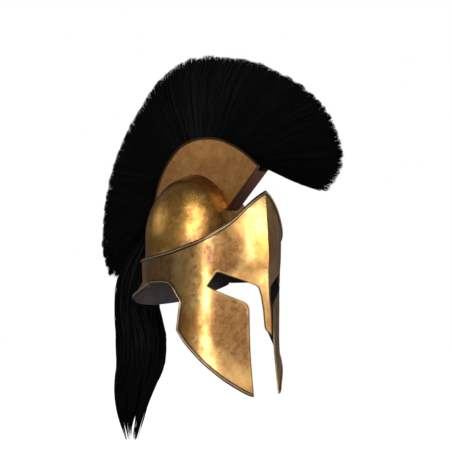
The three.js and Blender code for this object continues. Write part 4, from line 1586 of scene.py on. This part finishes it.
@dataclass
class CrestBrush:
    """Fan of stiff black bristles set in the crest box, with widths and shares of the bristles' length."""

    crest: CrestForm
    halves: Table = ((-0.1, 8.4), (0.05, 8.4), (0.3, 13.0), (0.62, 17.0), (0.85, 13.5), (1.0, 6.5))
    heart_reach: float = 0.93
    heart_half: float = 0.86
    heart_edge_half: float = 0.3
    seat: float = 7.0
    bristles: int = 21000
    stations: int = 5
    tufts: int = 170
    tuft_pull: float = 0.75
    tip_scatter: float = 0.0035
    skin_share: float = 0.72
    skin_depth: float = 0.16
    lobes: int = 46
    full_length: float = 1.018
    lobe_cut: float = 0.045
    lobe_step: float = 0.02
    lock_step: float = 0.012
    length_scatter: float = 0.007
    short_share: float = 0.2
    buried: float = 0.045
    wave: float = 1.3
    strand_halves: tuple = (0.35, 0.62)
    taper: tuple = (1.0, 1.0, 1.0, 0.95, 0.4)
    seed: int = 4

    def half_at(self, k: np.ndarray) -> np.ndarray:
        """Half thickness of the fan at shares of the bristles' length."""
        return through(self.halves, k)

    def core(self, finish: bpy.types.Material) -> bpy.types.Object:
        """Solid dark heart of the fan, a little inside the bristles.

        Args:
            finish: Its finish.

        Returns:
            The piece.
        """
        t = np.linspace(0.004, 0.996, 90)
        root, tip = self.crest.root(t), self.crest.tip(t)
        ahead = self._ahead(t, 0.01)
        down = np.column_stack([ahead[:, 1], -ahead[:, 0]]) * self.seat
        shares = np.r_[0.0, np.linspace(0.04, self.heart_reach, 10)]
        rows = []
        for side in (-1, 1):
            for k in shares[::-side]:
                place = root + (tip - root) * k + (down if k == 0 else 0)
                half = float(self.half_at(np.array([k]))[0])
                half *= self.heart_half if k < self.heart_reach else self.heart_edge_half
                rows.append(np.column_stack([np.full(len(t), side * half), place]))
        ring = np.stack(rows, axis=1)
        points = ring.reshape(-1, 3)
        sides = ring.shape[1]
        faces = grid_faces(len(t), sides, True)
        faces += [tuple(range(sides)), tuple(range(len(points) - sides, len(points)))[::-1]]
        obj = mesh_object("crest_brush_heart", points, faces, finish)
        put_attribute(obj, "shade", np.zeros(len(points)))
        outward_faces(obj)
        return finish_piece(obj, "crest_brush")

    def _ahead(self, t: np.ndarray, reach: float) -> np.ndarray:
        """Unit directions along the rim.

        Args:
            t: Shares along the rim.
            reach: How far to look to each side of them.

        Returns:
            Directions in the side view, one a row.
        """
        ahead = self.crest.root(np.clip(t + reach, 0, 1)) - self.crest.root(np.clip(t - reach, 0, 1))
        return ahead / np.linalg.norm(ahead, axis=1, keepdims=True)

    def _lobes(self, dice: np.random.Generator, t: np.ndarray) -> tuple[np.ndarray, np.ndarray]:
        """Uneven lobes into which the fan's edge is parted.

        Args:
            dice: Source of random numbers.
            t: Shares along the fan.

        Returns:
            A random number for each bristle's lobe, and its place in the lobe from 0 to 1.
        """
        cuts = np.r_[0, np.cumsum(dice.uniform(0.5, 1.5, self.lobes))]
        cuts /= cuts[-1]
        which = np.clip(np.searchsorted(cuts, t, side="right") - 1, 0, self.lobes - 1)
        place = (t - cuts[which]) / (cuts[which + 1] - cuts[which])
        return dice.uniform(0, 1, self.lobes)[which], place

    def _lengths(self, dice: np.random.Generator, t: np.ndarray, lock: np.ndarray) -> np.ndarray:
        """How long each bristle is.

        Args:
            dice: Source of random numbers.
            t: Shares along the fan.
            lock: Place of each bristle between the locks, from 0 to 1.

        Returns:
            Shares of the way from root curve to tip curve.
        """
        count = len(t)
        lobe, place = self._lobes(dice, t)
        length = self.full_length - self.lobe_cut * (2 * np.abs(place - 0.5)) ** 2.2
        length = length - self.lock_step * lock - self.lobe_step * lobe
        length -= np.abs(dice.normal(0, self.length_scatter, count))
        short = dice.uniform(0, 1, count) < self.short_share
        return np.where(short, length * dice.uniform(0.8, 1, count), length)

    def build(self, finish: bpy.types.Material) -> bpy.types.Object:
        """Makes the bristles.

        Args:
            finish: Their finish.

        Returns:
            The piece.
        """
        dice = np.random.default_rng(self.seed)
        count = self.bristles
        t = dice.uniform(0.0, 1.0, count)
        tuft = np.round(t * self.tufts) / self.tufts
        pull = (tuft - t) * dice.uniform(0.0, self.tuft_pull, count)
        t_tip = np.clip(t + pull + dice.normal(0, self.tip_scatter, count), 0, 1)
        skin = dice.uniform(0, 1, count) < self.skin_share
        on_skin = dice.choice([-1, 1], count) * (1 - self.skin_depth * dice.uniform(0, 1, count) ** 1.5)
        place = np.where(skin, on_skin, dice.uniform(-1, 1, count))
        lock = 0.5 + 0.5 * np.sin(tuft * 211 + np.sign(place) * 1.3)
        length = self._lengths(dice, t, lock)
        run = np.linspace(0, 1, self.stations)
        k = -self.buried + run[None] * column(length + self.buried)
        root, tip = self.crest.root(t), self.crest.tip(t_tip)
        ahead = self._ahead(t, 0.004)
        bend = column(dice.normal(0, self.wave, count))
        wave = bend * np.sin(k * math.pi * 1.1 + column(dice.uniform(0, 6, count))) * np.clip(k * 3, 0, 1)
        side_view = column(root) + column(tip - root) * k[..., None] + column(ahead) * wave[..., None]
        loose = 1 + column(dice.normal(0, 0.05, count)) * np.clip(k, 0, 1)
        x = column(place) * self.half_at(k) * loose
        lines = np.concatenate([x[..., None], side_view], axis=2)
        turn = dice.uniform(-0.9, 0.9, count)
        across = np.column_stack([np.sin(turn), ahead * column(np.cos(turn))])
        widths = column(dice.uniform(*self.strand_halves, count)) * np.array(self.taper)
        points, faces = ribbons(lines, np.repeat(column(across), self.stations, axis=1), widths)
        obj = mesh_object("crest_brush_bristles", points, faces, finish)
        shade = dice.beta(1.2, 3.2, count) * (0.55 + 0.45 * lock)
        put_attribute(obj, "shade", np.repeat(shade, self.stations * 2))
        return finish_piece(obj, "crest_brush")


@dataclass
class TailPlume:
    """Long loose tail of hair that hangs behind the helmet.

    Each of its rows holds a place front to back, a height, a half depth and a half width.
    """

    rows: tuple = ((86, -64, 8, 7.8), (100, -85, 10.5, 16), (116, -110, 16, 26), (130, -136, 24, 33),
                   (137.5, -162, 30, 36.5), (139.5, -192, 31, 37), (136, -220, 35, 38.5), (131, -250, 39, 40),
                   (134, -280, 36, 40), (145, -308, 31, 36), (153, -338, 27, 31), (157, -372, 19, 23),
                   (158, -405, 8, 11))
    heart_size: float = 0.8
    heart_end: float = 0.95
    locks: int = 90
    lock_reach: tuple = (0.72, 0.95)
    lock_end: tuple = (0.62, 0.9, 1.0)
    strands: int = 4000
    stations: int = 22
    early_share: float = 0.8
    strand_halves: tuple = (0.45, 0.95)
    seed: int = 9

    def at(self, t: np.ndarray) -> np.ndarray:
        """Centre, depth and width at shares of the length.

        Args:
            t: Shares.

        Returns:
            Place, height, half depth and half width, with t's shape first.
        """
        places = np.linspace(0, 1, len(self.rows))
        columns = [through(tuple(zip(places, column)), np.ravel(t)) for column in zip(*self.rows)]
        return np.stack(columns, axis=-1).reshape(*np.shape(t), 4)

    def frame_at(self, t: np.ndarray) -> tuple[np.ndarray, np.ndarray]:
        """Centre row and unit normal in the side view.

        Args:
            t: Shares of the length.

        Returns:
            Rows as from at(), and the normals.
        """
        run = self.at(np.clip(t + 0.01, 0, 1))[..., :2] - self.at(np.clip(t - 0.01, 0, 1))[..., :2]
        run /= np.linalg.norm(run, axis=-1, keepdims=True)
        return self.at(t), np.stack([-run[..., 1], run[..., 0]], axis=-1)

    def put(self, t: np.ndarray, u: np.ndarray, v: np.ndarray) -> np.ndarray:
        """Points inside the tail.

        Args:
            t: Shares of the length.
            u: Shares of the half width.
            v: Shares of the half depth.

        Returns:
            The points.
        """
        row, normal = self.frame_at(t)
        side = row[..., :2] + normal * (row[..., 2] * v)[..., None]
        return np.concatenate([(row[..., 3] * u)[..., None], side], axis=-1)

    def core(self, finish: bpy.types.Material) -> bpy.types.Object:
        """Solid dark heart of the tail.

        Args:
            finish: Its finish.

        Returns:
            The piece.
        """
        levels, sides = 48, 24
        t = np.linspace(0, self.heart_end, levels)
        turn = np.linspace(0, 2 * math.pi, sides + 1)[:-1]
        size = column(self.heart_size * np.clip((self.heart_end + 0.02 - t) * 5, 0.1, 1))
        grid_t = np.repeat(column(t), sides, axis=1)
        points = self.put(grid_t, size * np.cos(turn), size * np.sin(turn)).reshape(-1, 3)
        faces = grid_faces(levels, sides, True)
        faces += [tuple(range(sides)), tuple(range(len(points) - sides, len(points)))[::-1]]
        obj = mesh_object("tail_plume_heart", points, faces, finish)
        put_attribute(obj, "shade", np.zeros(len(points)))
        outward_faces(obj)
        return finish_piece(obj, "tail_plume")

    def build(self, finish: bpy.types.Material) -> bpy.types.Object:
        """Makes the strands, gathered in locks.

        Args:
            finish: Their finish.

        Returns:
            The piece.
        """
        dice = np.random.default_rng(self.seed)
        locks, count = self.locks, self.strands
        shortest, usual, longest = self.lock_end
        lock_turn = np.linspace(0, 2 * math.pi, locks, endpoint=False) + dice.normal(0, 0.05, locks)
        lock_reach = dice.uniform(*self.lock_reach, locks)
        lock_end = np.clip(dice.normal(usual, 0.07, locks), shortest, longest)
        lock_wave = dice.uniform(0, 6.28, locks)
        which = dice.integers(0, locks, count)
        end = np.clip(lock_end[which] + dice.normal(0, 0.02, count), 0.5, 1.0)
        early = dice.uniform(0, 1, count) < self.early_share
        start = np.where(early, 0.0, dice.uniform(0, 0.25, count))
        s = np.linspace(0, 1, self.stations)[None]
        t = column(start) + column(end - start) * s
        spread = np.clip(1.15 - 0.95 * s**2, 0.15, 1)
        wave = column(lock_wave[which])
        turn = column(lock_turn[which]) + column(dice.normal(0, 0.10, count)) * spread
        turn = turn + 0.10 * np.sin(wave + t * 11)
        reach = column(lock_reach[which]) + column(dice.normal(0, 0.07, count)) * spread
        reach = np.clip(reach + 0.05 * np.sin(wave * 2 + t * 15), 0.4, 1.03)
        u, v = np.cos(turn), np.sin(turn)
        lines = self.put(t, reach * u, reach * v)
        _, normal = self.frame_at(t)
        outward = np.stack([u, normal[..., 0] * v, normal[..., 1] * v], axis=-1)
        across = np.cross(outward, np.gradient(lines, axis=1))
        across /= np.linalg.norm(across, axis=2, keepdims=True) + 1e-9
        tilt = dice.uniform(-0.7, 0.7, count)[:, None, None]
        across = across * np.cos(tilt) + outward * np.sin(tilt)
        taper = np.clip((1 - s) * 6, 0.12, 1) * np.clip(0.45 + s * 5, 0, 1)
        widths = column(dice.uniform(*self.strand_halves, count)) * taper
        points, faces = ribbons(lines, across, widths)
        obj = mesh_object("tail_plume_strands", points, faces, finish)
        shade = dice.beta(1.2, 3.0, count) * (0.4 + 0.6 * (0.5 + 0.5 * np.sin(lock_wave[which])))
        put_attribute(obj, "shade", np.repeat(shade, self.stations * 2))
        return finish_piece(obj, "tail_plume")


# ---------------------------------------------------------------- studio


def looking(place: Vector, target: Vector, roll: float) -> Matrix:
    """World matrix of a light or camera that faces a target.

    Args:
        place: Where it stands, in metres.
        target: What it faces.
        roll: Turn about its own axis in degrees.

    Returns:
        The matrix.
    """
    facing = (place - target).to_track_quat("Z", "Y").to_matrix().to_4x4()
    return Matrix.Translation(place) @ facing @ Matrix.Rotation(math.radians(roll), 4, "Z")


@dataclass(frozen=True)
class SoftLight:
    """One soft box, in metres, watts and degrees, with its direction from the helmet."""

    name: str
    direction: tuple[float, float, float]
    distance: float
    size: tuple[float, float]
    power: float
    roll: float = 0.0

    def build(self, target: Vector) -> None:
        """Places the light and turns it to the target.

        Args:
            target: Point that it lights, in metres.
        """
        data = bpy.data.lights.new(self.name, "AREA")
        data.shape = "RECTANGLE"
        data.size, data.size_y = self.size
        data.energy = self.power
        obj = bpy.data.objects.new(self.name, data)
        place = target + Vector(self.direction).normalized() * self.distance
        obj.matrix_world = looking(place, target, self.roll)
        bpy.context.scene.collection.objects.link(obj)


@dataclass
class Studio:
    """Pale floor, white surround, soft boxes and the camera, with angles in degrees."""

    floor_height: float = -470.0
    floor_reach: float = 4000.0
    floor_glow: float = 0.9
    surround_tint: Colour = (0.97, 0.93, 0.88, 1.0)
    surround_strength: float = 0.135
    lit_place: tuple = (0.0, -0.02, -0.12)
    aim: tuple = (-11.7, -70.32, -78.99)
    azimuth: float = -136.0
    elevation: float = -3.818
    distance: float = 1400.0
    roll: float = -0.986
    lens: float = 77.63
    lights: tuple = (
        SoftLight("temple_box", (-0.788, -0.616, 0.0), 1.9, (0.70, 1.5), 38.0),
        SoftLight("front_box", (0.15, -0.985, 0.07), 1.8, (0.80, 0.7), 12.0),
        SoftLight("crown_box", (-0.54, -0.54, 0.65), 1.6, (0.95, 0.36), 7.5, roll=-43.0),
        SoftLight("nasal_box", (-0.285, -0.957, -0.05), 1.8, (0.22, 0.4), 0.9),
        SoftLight("far_box", (0.6, -0.35, 0.7), 1.8, (0.9, 0.9), 4.5),
        SoftLight("rear_fill", (-0.7, 0.8, 0.5), 2.4, (1.6, 1.2), 4.0),
    )

    def surround(self) -> None:
        """White background to the eye, dimmer for light and reflections."""
        world = bpy.data.worlds.new("surround")
        bpy.context.scene.world = world
        world.use_nodes = True
        bpy.context.scene.view_settings.view_transform = "Standard"
        n = Nodes(world.node_tree)
        world.node_tree.nodes.clear()
        sides = (((1.0, 1.0, 1.0, 1.0), 1.0), (self.surround_tint, self.surround_strength))
        seen, cast = (n.add("ShaderNodeBackground", None, {"Color": tint, "Strength": strength}).outputs[0]
                      for tint, strength in sides)
        ray = n.add("ShaderNodeLightPath").outputs["Is Camera Ray"]
        both = n.add("ShaderNodeMixShader", None, {0: ray, 1: cast, 2: seen}).outputs[0]
        n.join(both, n.add("ShaderNodeOutputWorld"), "Surface")

    def floor(self) -> None:
        """Wide pale floor below the tail."""
        material, n, bsdf = shader("pale_floor")
        bsdf.inputs["Base Color"].default_value = (0.80, 0.80, 0.79, 1.0)
        bsdf.inputs["Roughness"].default_value = 0.9
        ray = n.add("ShaderNodeLightPath").outputs["Is Camera Ray"]
        n.join(n.mix(ray, (0.0, 0.0, 0.0, 1.0), (1.0, 1.0, 1.0, 1.0)), bsdf, "Emission Color")
        bsdf.inputs["Emission Strength"].default_value = self.floor_glow
        far = self.floor_reach
        square = ((-far, -far), (far, -far), (far, far), (-far, far))
        corners = np.array([(x, y, self.floor_height) for x, y in square])
        mesh_object("pale_floor", corners, [(0, 1, 2, 3)], material)

    def camera(self) -> None:
        """Three-quarter view from the wearer's right, a little from below."""
        data = bpy.data.cameras.new("camera")
        data.lens = self.lens
        data.sensor_width = 36.0
        data.clip_end = 50.0
        obj = bpy.data.objects.new("camera", data)
        turn, rise = math.radians(self.azimuth), math.radians(self.elevation)
        back = Vector((math.cos(rise) * math.cos(turn), math.cos(rise) * math.sin(turn), math.sin(rise)))
        aim = Vector(self.aim) * MM
        obj.matrix_world = looking(aim + back * self.distance * MM, aim, self.roll)
        bpy.context.scene.collection.objects.link(obj)
        bpy.context.scene.camera = obj

    def build(self) -> None:
        """Sets up the whole studio."""
        self.surround()
        self.floor()
        for light in self.lights:
            light.build(Vector(self.lit_place))
        self.camera()


def main() -> None:
    """Builds the helmet piece by piece and reports each."""
    logging.basicConfig(level=logging.INFO, format="%(name)s: %(message)s")
    finishes = Finishes()
    form = GuardForm()
    guard = FaceGuard(form)
    guard.build(finishes.sheet, finishes.inside)
    bands = TrimBands(guard)
    for row in EdgeRow:
        bands.build(row, finishes.trim)
    cap = SkullCap(form)
    cap.build(finishes.crown, finishes.inside)
    crest = CrestForm()
    CrestBox(crest, cap).build(finishes.box)
    brush = CrestBrush(crest)
    brush.core(finishes.bristle)
    brush.build(finishes.bristle)
    tail = TailPlume()
    tail.core(finishes.hair)
    tail.build(finishes.hair)
    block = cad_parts["crest_block"]
    block.data.materials.clear()
    block.data.materials.append(finishes.wood)
    log.info("%s: kept, with a new finish", block.name)
    Studio().build()


if __name__ == "__main__":
    main()
